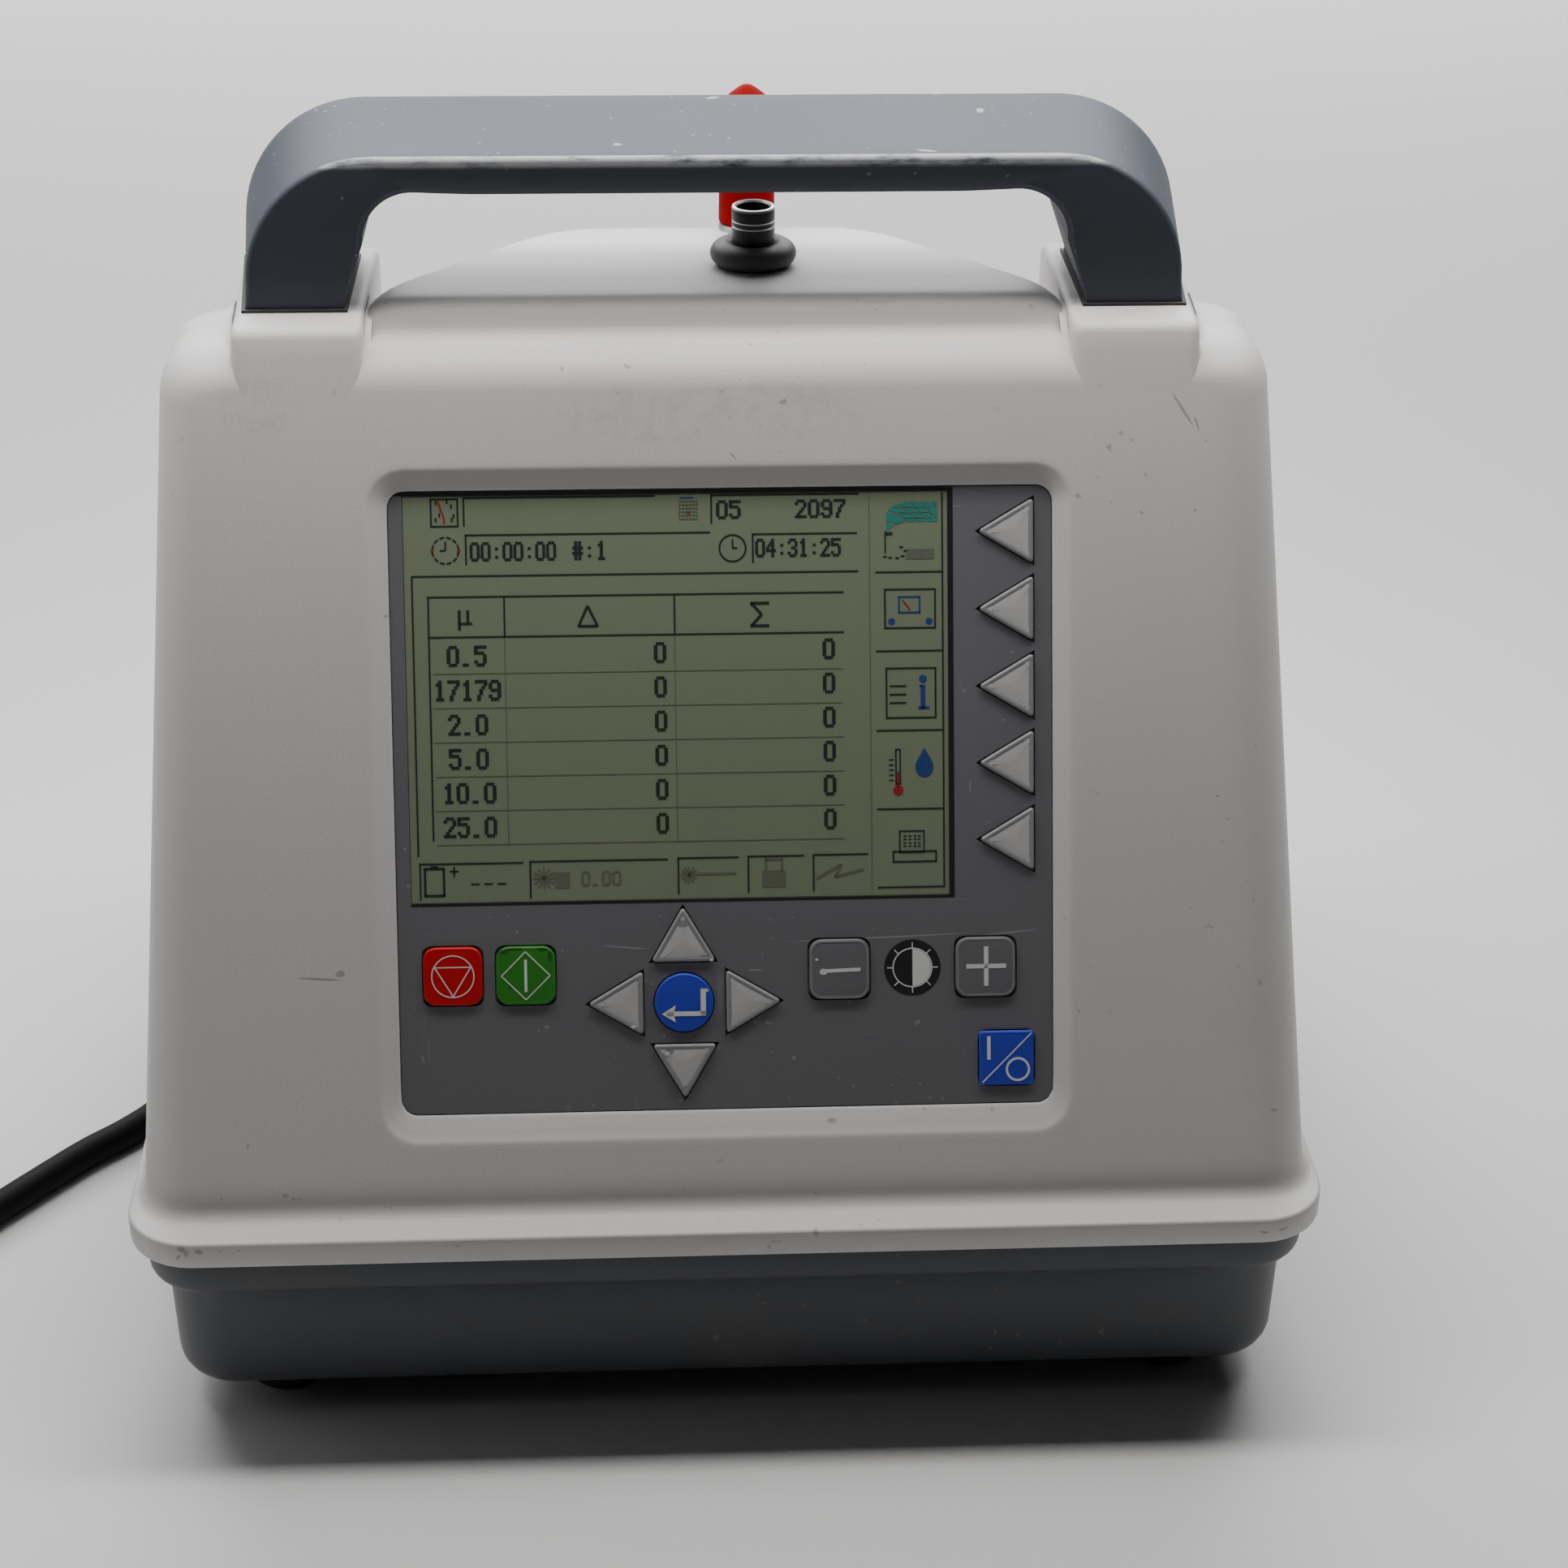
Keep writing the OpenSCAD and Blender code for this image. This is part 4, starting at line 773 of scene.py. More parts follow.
    hw, hh = REAR_PLATE_HALF
    rear_outlines = [(REAR_PLATE_AT, (hw + g, hh + g), 2 + g, w)
                     for g, w in ((1.6, 0), (0.5, 0), (0.15, 0.15), (0, 0.5), (0, 9))]
    rear_outlines += [(REAR_PLATE_AT, dot, dot_r, 9)]
    patch(loop_of(row(REAR_CUT_Z[0]), row(REAR_CUT_Z[1]), *rear_k), rear_outlines,
          lambda p: np.stack([p[:, 0], p[:, 2]], -1), from_rear)

    # the faces inside the two holes go
    i = faces[:, 0] // N_RING
    k = faces[:, 0] % N_RING
    keep = np.ones(len(faces), bool)
    for (z0, z1), (k0, k1) in ((FACE_CUT_Z, front_k), (REAR_CUT_Z, rear_k)):
        keep &= ~((i >= row(z0)) & (i < row(z1)) & (k >= k0) & (k < k1))
    faces = faces[keep]

    roof, roof_faces = cap_grid(points, (count - 1) * N_RING, 26, start)
    start += len(roof)
    lid, lid_faces = cap_grid(points, 0, 2, start)
    start += len(lid)
    outer_rows = np.arange(len(points)) // N_RING >= level_at
    every = np.concatenate([points, *extra_points, roof, lid])
    top = np.zeros(len(every), bool)
    top[:len(points)] = outer_rows & (points[:, 2] > 188)
    roof_at = len(points) + sum(len(e) for e in extra_points)
    top[roof_at:roof_at + len(roof)] = True
    x, y, z = every.T
    on_hood = top & (y > -25.5) & (np.abs(x) < 84) & (y < 70)
    raised = soft_max(z, hood_height(x, y), HOOD_SOFT)
    every[:, 2] = np.where(on_hood, raised, z)
    all_faces = np.concatenate([faces, *extra_faces, roof_faces, lid_faces[:, ::-1]])
    return build_piece("cover_shell", every, all_faces, material, smooth=38)


def inside_cover(x, y, z):
    """Depth of a point inside the cover's level section, negative outside."""
    y0, y1, hw = front_y(z, 0), rear_y(z, 0), side_x(z, 0)
    r = np.minimum(EDGE_R, (y1 - y0) / 2 - 0.5)
    qx = np.abs(x) - (hw - r)
    qy = np.abs(y - (y0 + y1) / 2) - ((y1 - y0) / 2 - r)
    out = np.hypot(np.maximum(qx, 0), np.maximum(qy, 0)) + np.minimum(np.maximum(qx, qy), 0) - r
    return -out


def boss_outline(z, inset):
    """Plan of a handle boss at height z: its front follows the tilted face, its outer side spreads to the
    rear, and its corners are round."""
    lean = (214 - z) * 0.015
    y0 = FACE_LINE_Y + (z - FACE_Z) * TAN_T + lean + inset
    y1 = BOSS_REAR - inset
    corners = [(BOSS_X[0] + inset, y0), (BOSS_X[1] - inset, y0), (BOSS_X[1] + BOSS_FLARE - inset, y1),
               (BOSS_X[0] + inset, y1)]
    r = max(BOSS_R - inset * 0.8, 0.5)
    arcs = round_polygon(corners, r, 7)
    n = 8
    sides = []
    for c in range(4):
        arc, after = arcs[c * n:(c + 1) * n], arcs[((c + 1) % 4) * n]
        t = np.linspace(0, 1, 14)[1:-1, None]
        sides += [arc, arc[-1] * (1 - t) + after * t]
    return np.concatenate(sides)


def make_boss(name, side, material):
    """Top, rounded edge and walls round the boss. Each wall runs down to where it meets the cover, and there
    it flares out in a quarter circle, whose radius goes from nothing at the front to 1.4 mm at the rear."""
    base = boss_outline(214.0, 0)
    rows = []
    rows.append(np.tile([[90.0, 3.0, BOSS_Z]], (len(base), 1)))
    for inset, drop in ((6, 0), (2.2, 0), (1.5, 0.08), (0.9, 0.34), (0.45, 0.75), (0.15, 1.3), (0, 2)):
        xy = boss_outline(BOSS_Z - drop, inset)
        rows.append(np.column_stack([xy, np.full(len(xy), BOSS_Z - drop)]))
    top, step = BOSS_Z - 2, 0.25
    heights = np.arange(top, 203, -step)
    plans = np.stack([boss_outline(z, 0) for z in heights])
    along = np.roll(plans, -1, 1) - np.roll(plans, 1, 1)
    normal = np.stack([along[..., 1], -along[..., 0]], -1)
    normal /= np.maximum(np.linalg.norm(normal, axis=-1, keepdims=True), 1e-9)
    flare = 1.4 * np.clip((normal[0, :, 1] + 0.75) / 0.5, 0, 1)
    moved = plans + normal * flare[None, :, None]
    depth = inside_cover(moved[..., 0], moved[..., 1], heights[:, None] + 0 * moved[..., 0])
    deep = depth > 0.06
    first = np.where(deep.any(0), deep.argmax(0), len(heights) - 1)
    low = heights[first]
    k = np.arange(plans.shape[1])
    for s in (0.2, 0.4, 0.6, 0.8, 1.0):
        z = top + (low + flare - top) * s
        index = np.clip((top - z) / step, 0, len(heights) - 1)
        i0 = np.floor(index).astype(int)
        i1 = np.minimum(i0 + 1, len(heights) - 1)
        f = (index - i0)[:, None]
        rows.append(np.column_stack([plans[i0, k] * (1 - f) + plans[i1, k] * f, z]))
    for a in np.radians([18, 36, 54, 72, 90]):
        z = low + flare * (1 - np.sin(a))
        out = flare * (1 - np.cos(a))
        index = np.clip((top - z) / step, 0, len(heights) - 1).round().astype(int)
        rows.append(np.column_stack([plans[index, k] + normal[index, k] * out[:, None], z]))
    under = rows[-1].copy()
    under[:, 2] -= 3
    rows += [under, np.tile([[90.0, 0.0, 205.0]], (len(base), 1))]
    points = np.concatenate(rows)
    points[:, 0] *= side
    return build_piece(name, points, grid_faces(len(rows), len(base)), material, smooth=40)


# ---------- tray ----------

# half width, half depth and corner radius
TRAY_WALL, TRAY_LIP, TRAY_INSIDE = (123.5, 106.5, 13.0), (127.0, 110.1, 14.0), (120.5, 103.5, 10.0)


def tray_ring(plan, inset, z, tighter=None):
    """Level section of the tray: a plan inset, its corners tighter by the inset or by a given number."""
    hw, hd, r = plan
    return ring_points(hw - inset, inset - hd, hd - inset, r - (inset if tighter is None else tighter), z)


def make_tray(material):
    """Rings up the outside, then down the inner wall: a bottom round of 7 mm, a wall that leans by 2%, a lip
    with a round of 3 mm under it, and a flat floor inside."""
    foot_round, lean, lip_round = 7, 0.02, 3
    rings = []
    for a in np.radians([0, 12, 25, 40, 55, 72, 90]):
        d, z = foot_round * (1 - math.sin(a)), TRAY_FLOOR + foot_round * (1 - math.cos(a))
        rings.append(tray_ring(TRAY_WALL, d + (LIP_BOTTOM - z) * lean, z, min(d, 6)))
    rings += [tray_ring(TRAY_WALL, (LIP_BOTTOM - z) * lean, z, 0) for z in (20, 28, LIP_BOTTOM - 0.6)]
    rings.append(tray_ring(TRAY_WALL, -0.4, LIP_BOTTOM, 0))
    for a in np.radians([0, 15, 30, 45, 60, 75, 90]):
        t, z = lip_round * (1 - math.sin(a)), LIP_BOTTOM + lip_round * (1 - math.cos(a))
        rings.append(tray_ring(TRAY_LIP, t, z))
    rings += [tray_ring(TRAY_LIP, t, z) for t, z in ((0, TRAY_TOP - 0.5), (0.3, TRAY_TOP))]
    rings += [tray_ring(TRAY_INSIDE, t, z) for t, z in ((0, TRAY_TOP), (0, 30), (0, 14), (2, 11), (4, 10))]
    points = np.concatenate(rings)
    faces = grid_faces(len(rings), N_RING)
    low, low_faces = cap_grid(points, 0, 2, len(points))
    high, high_faces = cap_grid(points, (len(rings) - 1) * N_RING, 2, len(points) + len(low))
    faces = np.concatenate([faces, low_faces[:, ::-1], high_faces])
    return build_piece("tray_shell", np.concatenate([points, low, high]), faces, material, smooth=38)


# ---------- handle ----------

def arch_path(half, top, r, foot_half, inner):
    """Outline of the arch in x and z from the left foot over the top to the right foot: a straight leg that
    leans out, a quarter circle of radius r, half of the level top, and the same mirrored."""
    cz = top - r
    arc = np.linspace(0, math.pi / 2, 17)
    knee = np.linspace(0, 1, 5)[:-1]
    leg_x = foot_half + (half - foot_half) * knee
    start_z = LEG_FOOT_Z if inner else LEG_Z + 4
    leg = np.column_stack([-leg_x, start_z + (cz - start_z) * knee])
    corner = np.column_stack([-(half - r) - r * np.cos(arc), cz + r * np.sin(arc)])
    middle = np.column_stack([np.linspace(-(half - r), 0, 23)[1:], np.full(22, top)])
    left = np.concatenate([[(-foot_half, LEG_Z)], leg, corner, middle])
    right = left[-2::-1] * [-1, 1]
    return np.concatenate([left, right])


def make_handle(material):
    """A closed section carried along the arch, with rounded edges. The outer side spreads to the rear. The
    grip's underside bulges down by 3.5 mm * (1 - square of the distance from its middle in y)."""
    y0, y1 = HANDLE_Y
    outer = [(y0 + 1.1 * (1 - math.cos(a)), 1 - math.sin(a)) for a in np.radians(np.linspace(0, 90, 7))]
    outer += [(y, 0) for y in np.linspace(y0 + 1.1, y1 - 0.9, 12)[1:]]
    outer += [(y1 - 0.9 + 0.9 * math.sin(a), 0.9 * (1 - math.cos(a))) for a in np.radians([30, 60, 90])]
    inner = [(y1, 0.8)] + [(y1 - 0.8 * math.sin(a), 0.8 * (1 - math.sin(a))) for a in np.radians([45, 90])]
    inner += [(y, 0) for y in np.linspace(y1 - 0.8, y0 + 1.2, 16)[1:]]
    inner += [(y0 + 1.2 * math.cos(a), 1.2 * (1 - math.cos(a))) for a in np.radians([30, 60, 90])]
    loops = []
    for y, inset in outer:
        k = HANDLE_FLARE * (y - y0) / (y1 - y0)
        loops.append((y, arch_path(HANDLE_HW + k - inset, HANDLE_Z + k - inset, HANDLE_R - inset,
                                   LEG_X[1] + k - inset, False)))
    for y, inset in inner:
        path = arch_path(GRIP_X + GRIP_R + inset, HANDLE_Z - GRIP_T + inset, GRIP_R + inset, LEG_X[0], True)
        near = np.clip((GRIP_X + GRIP_R - np.abs(path[:, 0])) / 26, 0, 1)
        path[:, 1] -= 3.5 * max(0, 1 - ((y + 3) / 19) ** 2) * near * near * (3 - 2 * near)
        loops.append((y, path))
    points = np.stack([np.column_stack([p[:, 0], np.full(len(p), y), p[:, 1]]) for y, p in loops], 1)
    ends = points.mean(1, keepdims=True)[[0, -1]]
    n = points.shape[1]
    rows = np.concatenate([np.repeat(ends[:1], n, 1), points, np.repeat(ends[1:], n, 1)])
    return build_piece("handle_arch", rows.reshape(-1, 3), grid_faces(len(rows), n), material, smooth=42)


# ---------- keys ----------

def key_rows(outline, border, dome_drop, dome_rise):
    """Rings of a key: from its underside up the wall and over the raised border, each the outline moved
    inwards, then scaled towards its middle and lifted by rise * (1 - scale squared) to the domed top."""
    centre = outline.mean(0)
    inner = KEY_TOP - dome_drop
    profile = [(0, KEY_LOW), (0, 0.25), (0.1, 0.5), (0.3, KEY_TOP - 0.02), (0.3 + border * 0.3, KEY_TOP),
               (0.3 + border * 0.7, KEY_TOP - 0.06), (0.3 + border, inner), (0.5 + border, inner + 0.02)]
    rows = [np.column_stack([outline * 0 + centre, np.full(len(outline), KEY_LOW)])]
    rows += [np.column_stack([shrink(outline, t), np.full(len(outline), w)]) for t, w in profile]
    last, low = rows[-1][:, :2], profile[-1][1]
    for s in (0.75, 0.5, 0.25, 0):
        height = low + dome_rise * (1 - s * s)
        rows.append(np.column_stack([centre + (last - centre) * s, np.full(len(outline), height)]))
    return rows


def make_key(node, outline, materials, border=0.8, dome_drop=0.12, dome_rise=0.08):
    """One key; with two materials the first is its wall and border, and the second its printed top."""
    rows = key_rows(outline, border, dome_drop, dome_rise)
    n = len(outline)
    faces = grid_faces(len(rows), n)
    slots = (faces[:, 0] // n >= 7).astype(np.int32) if len(materials) > 1 else None
    piece = build_piece(node + "_top", to_face(np.concatenate(rows)), faces, materials, slots, smooth=50)
    dress(piece, node, SLOT_OF[node], node)


def arrow_outline(u, v, turn):
    """Isosceles triangle on its base's middle point (u, v), turned, with slightly rounded corners.
    Each long side is cut into eight, so that the dome follows it."""
    p = round_polygon([(-7, 0), (7, 0), (0, 11.9)], 0.55, 4)
    a = math.radians(turn)
    spin = np.array([[math.cos(a), math.sin(a)], [-math.sin(a), math.cos(a)]])
    t = np.linspace(0, 1, 9)[:-1, None]
    pairs = zip(p, np.roll(p, -1, 0))
    p = np.concatenate([a * (1 - t) + b * t if np.linalg.norm(a - b) > 2 else a[None] for a, b in pairs])
    return p @ spin + [u, v]


def make_keys():
    """The fifteen keys in their places on the panel."""
    worn = [(-9.4, -26.2, (1.3, 1.0, 0.8)), (-14, -34, (1.2, 1, 0.5)), (-4.6, -33.6, (1.5, 1, 0.6)),
            (-18.4, -37.6, (1.6, 1, 1.5)), (-18.6, -49, (1.5, 1, 0.9)), (-0.6, -38.6, (0.9, 1, 2.1)),
            (0.9, -36.4, (1.6, 1, 0.5)), (-12.6, -53.8, (0.9, 1, 0.7)), (-9.2, -62.5, (0.7, 1, 1.2))]
    arrow_paint = worn_key("arrow_paint", (0.46, 0.455, 0.45), (0.2, 0.2, 0.205), 0.36,
                           [(on_face(u, v, 0.6), size) for u, v, size in worn])
    soft_paint = worn_key("soft_key_paint", (0.47, 0.465, 0.46), (0.2, 0.2, 0.205), 0.22)
    border = worn_key("key_border", (0.25, 0.25, 0.258), (0.4, 0.4, 0.4), 0.34, rough=0.4)
    worn = [(-48.0, -31.6, (1.3, 0.8, 0.5)), (-45.5, -31.0, (1.8, 0.8, 0.35)),
            (-38.0, -32.6, (0.5, 0.8, 1.5)), (-39.5, -31.2, (1.2, 0.8, 0.4))]
    red = worn_key("key_red_paint", (0.5, 0.004, 0.007), (0.1, 0.02, 0.02), 0.2)
    green = worn_key("key_green_paint", (0.028, 0.2, 0.018), (0.02, 0.06, 0.02), 0.33,
                     [(on_face(u, v, KEY_TOP), size) for u, v, size in worn])
    blue = worn_key("key_blue_paint", (0.03, 0.05, 0.46), (0.2, 0.22, 0.3), 0.2)
    charcoal = worn_key("key_charcoal", (0.14, 0.14, 0.15), (0.2, 0.2, 0.21), 0.24)
    for node, at, side, corner, paint in (("key_stop", STOP_AT, 12.6, 2.7, red),
                                          ("key_start", START_AT, 12.6, 2.7, green),
                                          ("key_minus", MINUS_AT, 13, 2.7, charcoal),
                                          ("key_plus", PLUS_AT, 13, 2.7, charcoal),
                                          ("key_power", POWER_AT, 11.9, 0.7, blue)):
        make_key(node, round_outline(side / 2, side / 2, corner) + at, [paint], 0.7, 0.05, 0.03)
    u, v = ENTER_AT
    make_key("key_enter", round_outline(6.35, 6.35, 6.3, 12) + ENTER_AT, [blue], 0.6, 0.03, 0.06)
    for node, at in {"key_up": (u, v + 8.9, 0), "key_down": (u, v - 9.1, 180),
                     "key_left": (u - 8.8, v, 90), "key_right": (u + 9.1, v, -90)}.items():
        make_key(node, arrow_outline(*at), [border, arrow_paint])
    for i in range(5):
        make_key(f"soft_key_{i + 1}", arrow_outline(66.3, 57 - 16.5 * i, 90), [border, soft_paint])


# ---------- print ----------

class Print:
    """Thin raised figures on the panel, gathered into one piece."""

    def __init__(self, w):
        self.w, self.points, self.faces, self.count = w, [], [], 0

    def add(self, outlines, heights):
        """Rings of points at the given heights over the print's own."""
        n = len(outlines[0])
        self.points += [np.column_stack([p, np.full(n, self.w + h)]) for p, h in zip(outlines, heights)]
        self.faces.append(grid_faces(len(outlines), n, self.count))
        self.count += n * len(outlines)

    def band(self, outer, inner, lift=0.05):
        """A closed band between two outlines with the same number of points."""
        self.add((outer, outer, inner, inner, outer), (-0.02, lift, lift, -0.02, -0.02))

    def blot(self, outline, lift=0.05):
        """A filled convex figure: each ring is its middle or its outline."""
        outline = np.asarray(outline, float)
        middle = outline * 0 + outline.mean(0)
        self.add((middle, outline, outline, middle), (-0.02, -0.02, lift, lift))

    def line(self, a, b, width):
        """A straight line from a to b."""
        a, b = np.array(a, float), np.array(b, float)
        along = (b - a) / np.linalg.norm(b - a)
        side = np.array([-along[1], along[0]]) * width / 2
        self.blot(np.array([a - side, b - side, b + side, a + side]))

    def lines(self, width, *pairs):
        """A straight line for each pair of ends."""
        for a, b in pairs:
            self.line(a, b, width)

    def closed_line(self, corners, width):
        """Lines from corner to corner and back to the first."""
        self.lines(width, *zip(corners, corners[1:] + corners[:1]))

    def bar(self, u0, v0, u1, v1, lift=0.05):
        """A filled level box between two corners."""
        self.blot([(u0, v0), (u1, v0), (u1, v1), (u0, v1)], lift)

    def frame_line(self, u0, v0, u1, v1, width, sides="lrtb"):
        """Lines along the named sides of a box."""
        h = width / 2
        for key, box in (("l", (u0 - h, v0 - h, u0 + h, v1 + h)), ("r", (u1 - h, v0 - h, u1 + h, v1 + h)),
                         ("t", (u0 - h, v1 - h, u1 + h, v1 + h)), ("b", (u0 - h, v0 - h, u1 + h, v0 + h))):
            if key in sides:
                self.bar(*box)

    def ring(self, at, r, width, steps=32):
        """A circle drawn as a line."""
        unit = round_points(0, 360, steps, False)
        self.band(unit * (r + width / 2) + at, unit * (r - width / 2) + at)

    def disc(self, at, r, steps=24):
        """A filled circle."""
        self.blot(round_points(0, 360, steps, False) * r + at)

    def rays(self, at, r0, r1, width, count):
        """Short lines from radius r0 to r1 round a point."""
        for d in round_points(0, 360, count, False):
            self.line(d * r0 + at, d * r1 + at, width)

    def digits(self, text, u, v, height, pitch):
        """Dot-matrix figures from the left end at u, standing on v; neighbouring dots are one bar."""
        tall, wide = height / 7, pitch / 6.2
        for i, sign in enumerate(text):
            for j, bits in enumerate(DOTS[sign]):
                lit = [c for c in range(5) if bits >> (4 - c) & 1]
                while lit:
                    first = last = lit.pop(0)
                    while lit and lit[0] == last + 1:
                        last = lit.pop(0)
                    left, low = u + i * pitch, v + (6 - j) * tall
                    self.bar(left + first * wide, low, left + (last + BOLD) * wide, low + tall)

    def piece(self, name, material, body, slot):
        """Makes the piece from all figures and hangs it on its body."""
        points = to_face(np.concatenate(self.points))
        dress(build_piece(name, points, np.concatenate(self.faces), material, smooth=30), body, slot)


def round_points(start, end, count, closed=True):
    """Points of the unit circle from start to end degrees."""
    a = np.radians(np.linspace(start, end, count, endpoint=closed))
    return np.stack([np.cos(a), np.sin(a)], -1)


# each sign's seven rows of five dots, as bits
DOTS = {"0": (14, 17, 17, 17, 17, 17, 14), "1": (4, 12, 4, 4, 4, 4, 14), "2": (14, 17, 1, 2, 4, 8, 31),
        "3": (14, 17, 1, 6, 1, 17, 14), "4": (2, 6, 10, 18, 31, 2, 2), "5": (31, 16, 30, 1, 1, 17, 14),
        "7": (31, 1, 2, 4, 4, 8, 8), "9": (14, 17, 17, 15, 1, 17, 14), ":": (0, 0, 4, 0, 0, 4, 0),
        ".": (0, 0, 0, 0, 0, 0, 12), "#": (10, 10, 31, 10, 31, 10, 10)}
BOLD = 1.65             # a dot's width in dots, so that neighbours run together


def key_signs(white):
    """The signs printed on the keys, the worn-through chips, and thin light bands on the raised borders of
    minus and plus, which are a painted highlight of those borders.
    """
    top = KEY_TOP - 0.02
    chipped = ink("bare_chip", (0.62, 0.6, 0.56), spread=0.25)
    outline = ink("key_rim_highlight", (0.3, 0.3, 0.305))

    stop = Print(top)
    stop.ring(STOP_AT, 4.5, 0.25, 40)
    stop.closed_line([(-62.6, -34.6), (-58.75, -40.9), (-54.9, -34.6)], 0.25)
    stop.piece("stop_sign", white, "key_stop", "key_red")

    start = Print(top)
    start.closed_line([(-43.2, -31.5), (-48.4, -36.7), (-43.2, -41.9), (-38.0, -36.7)], 0.25)
    start.line((-43.2, -33.2), (-43.2, -40.2), 0.6)
    start.piece("start_sign", white, "key_start", "key_green")

    enter = Print(top + 0.06)
    enter.line((-5.3, -40.2), (-5.3, -46.1), 1.15)
    enter.line((-4.75, -45.6), (-13.2, -45.6), 1.0)
    enter.blot([(-14.2, -45.6), (-11.2, -47.5), (-11.7, -45.6), (-11.2, -43.7)])
    enter.piece("enter_sign", white, "key_enter", "key_blue")

    minus = Print(top)
    minus.line((21.2, -36.9), (28.6, -36.7), 0.75)
    minus.piece("minus_sign", white, "key_minus", "key_face")

    flake = np.array([(0.9, 0), (0.5, 0.62), (-0.2, 0.7), (-0.75, 0.3), (-0.8, -0.35), (-0.1, -0.66),
                      (0.65, -0.5)])
    for node, u, v, size in (("key_minus", 20.6, -37.1, 1.0), ("key_minus", 19.2, -34.4, 0.4),
                             ("key_down", -13.2, -54.2, 0.62), ("key_enter", -4.6, -40.6, 0.55),
                             ("key_left", -20.4, -48.2, 0.6), ("key_up", -3.4, -34.0, 0.5)):
        chip = Print(top + 0.02)
        chip.blot(flake * size + [u, v])
        chip.piece(f"{node}_flake_{abs(int(u * 10))}", chipped, node, SLOT_OF[node])
    # a thin light band on the crest of the raised border of minus and plus: a painted highlight
    for node, (u, _) in (("key_minus", MINUS_AT), ("key_plus", PLUS_AT)):
        rim_highlight = Print(top - 0.02)
        rim_highlight.band(round_outline(6.1, 6.1, 2.4) + [u, -36.65], round_outline(5.93, 5.93, 2.23) + [u, -36.65])
        rim_highlight.piece(node + "_outline", outline, node, "key_face")

    plus = Print(top)
    plus.line((51.5, -36.5), (60.1, -36.5), 0.95)
    plus.line((55.8, -32.2), (55.8, -40.8), 0.95)
    plus.piece("plus_sign", white, "key_plus", "key_face")

    power = Print(top)
    power.line((54.9, -62.0), (65.6, -51.3), 0.28)
    power.line((56.3, -51.9), (56.3, -57.0), 0.75)
    power.ring((62.6, -59.2), 2.4, 0.5)
    power.piece("power_sign", white, "key_power", "key_blue")


def contrast_sign(white, black):
    """A half-filled sun on a black disc, between minus and plus."""
    ground = Print(0.0)
    ground.disc(CONTRAST_AT, 6.1, 48)
    ground.piece("contrast_ground", black, "case", "panel")
    sun = Print(0.05)
    sun.ring(CONTRAST_AT, 4.2, 0.26, 44)
    sun.blot(round_points(-90, 90, 17) * 4.0 + CONTRAST_AT)
    sun.rays(CONTRAST_AT, 4.3, 5.5, 0.24, 8)
    sun.piece("contrast_print", white, "case", "panel")


# ---------- the screen's picture ----------

def screen_boxes(dark):
    """Boxes over the table, and the table's frames."""
    for box, sides in (((-54.3, 59.4, -14.2, 65.2), "lt"), ((-2.1, 59.4, 29.0, 65.2), "lt"),
                       ((-61.2, 59.3, -55.6, 65.0), "lrtb"), ((-54.0, 51.3, -2.6, 57.4), "lt"),
                       ((6.6, 51.0, 28.6, 56.9), "lt")):
        dark.frame_line(*box, DOT_PITCH, sides)
    dark.frame_line(-65.5, -10.6, 28.8, 48.8, DOT_PITCH, "lt")
    dark.frame_line(-62.2, -7.2, 25.6, 44.4, DOT_PITCH, "lt")
    for left, sides in ((-62.2, "b"), (-46.2, "l"), (-10.2, "l")):
        dark.frame_line(left, 35.9, 25.6, 44.4, DOT_PITCH, sides)


def screen_figures(dark, faint):
    """Figures over the table, its six rows, and the signs mu, delta and sigma over its columns."""
    dark.digits("05", -1.1, 60.2, 3.9, 2.75)
    dark.digits("2097", 15.6, 60.2, 3.9, 2.75)
    dark.digits("04:31:25", 7.1, 52.0, 3.9, 2.3)
    dark.digits("00:00:00", -53.2, 51.9, 4.0, 2.3)
    dark.digits("#:1", -31.6, 51.9, 4.0, 2.5)
    for j, size in enumerate(("0.5", "17179", "2.0", "5.0", "10.0", "25.0")):
        v = 29.7 - 7.3 * j
        dark.digits(size, -54.2 - 1.45 * len(size), v, 4.4, 2.9)
        dark.digits("0", -14.7, v + 0.2, 4.4, 2.9)
        dark.digits("0", 21.2, v + 0.5, 4.4, 2.9)
        faint.bar(-61.5, v - 1.6, 25.5, v - 1.48)
    faint.bar(-46.3, -8.4, -46.18, 35.7)
    faint.bar(-10.3, -8.4, -10.18, 35.7)
    faint.bar(31.3, -20.5, 31.42, 65.4)
    dark.bar(-56.0, 37.4, -55.4, 41.6)
    dark.bar(-54.2, 38.9, -53.6, 41.6)
    dark.bar(-56.0, 38.5, -53.0, 39.0)
    dark.lines(0.55, ((-30.6, 37.8), (-28.6, 42.2)), ((-28.6, 42.2), (-26.5, 37.8)),
               ((-26.5, 37.9), (-30.6, 37.9)))
    dark.lines(0.6, ((9.9, 42.3), (5.9, 42.3)), ((6.1, 42.3), (8.3, 39.9)), ((8.3, 39.9), (6.1, 37.5)),
               ((5.9, 37.5), (9.9, 37.5)))


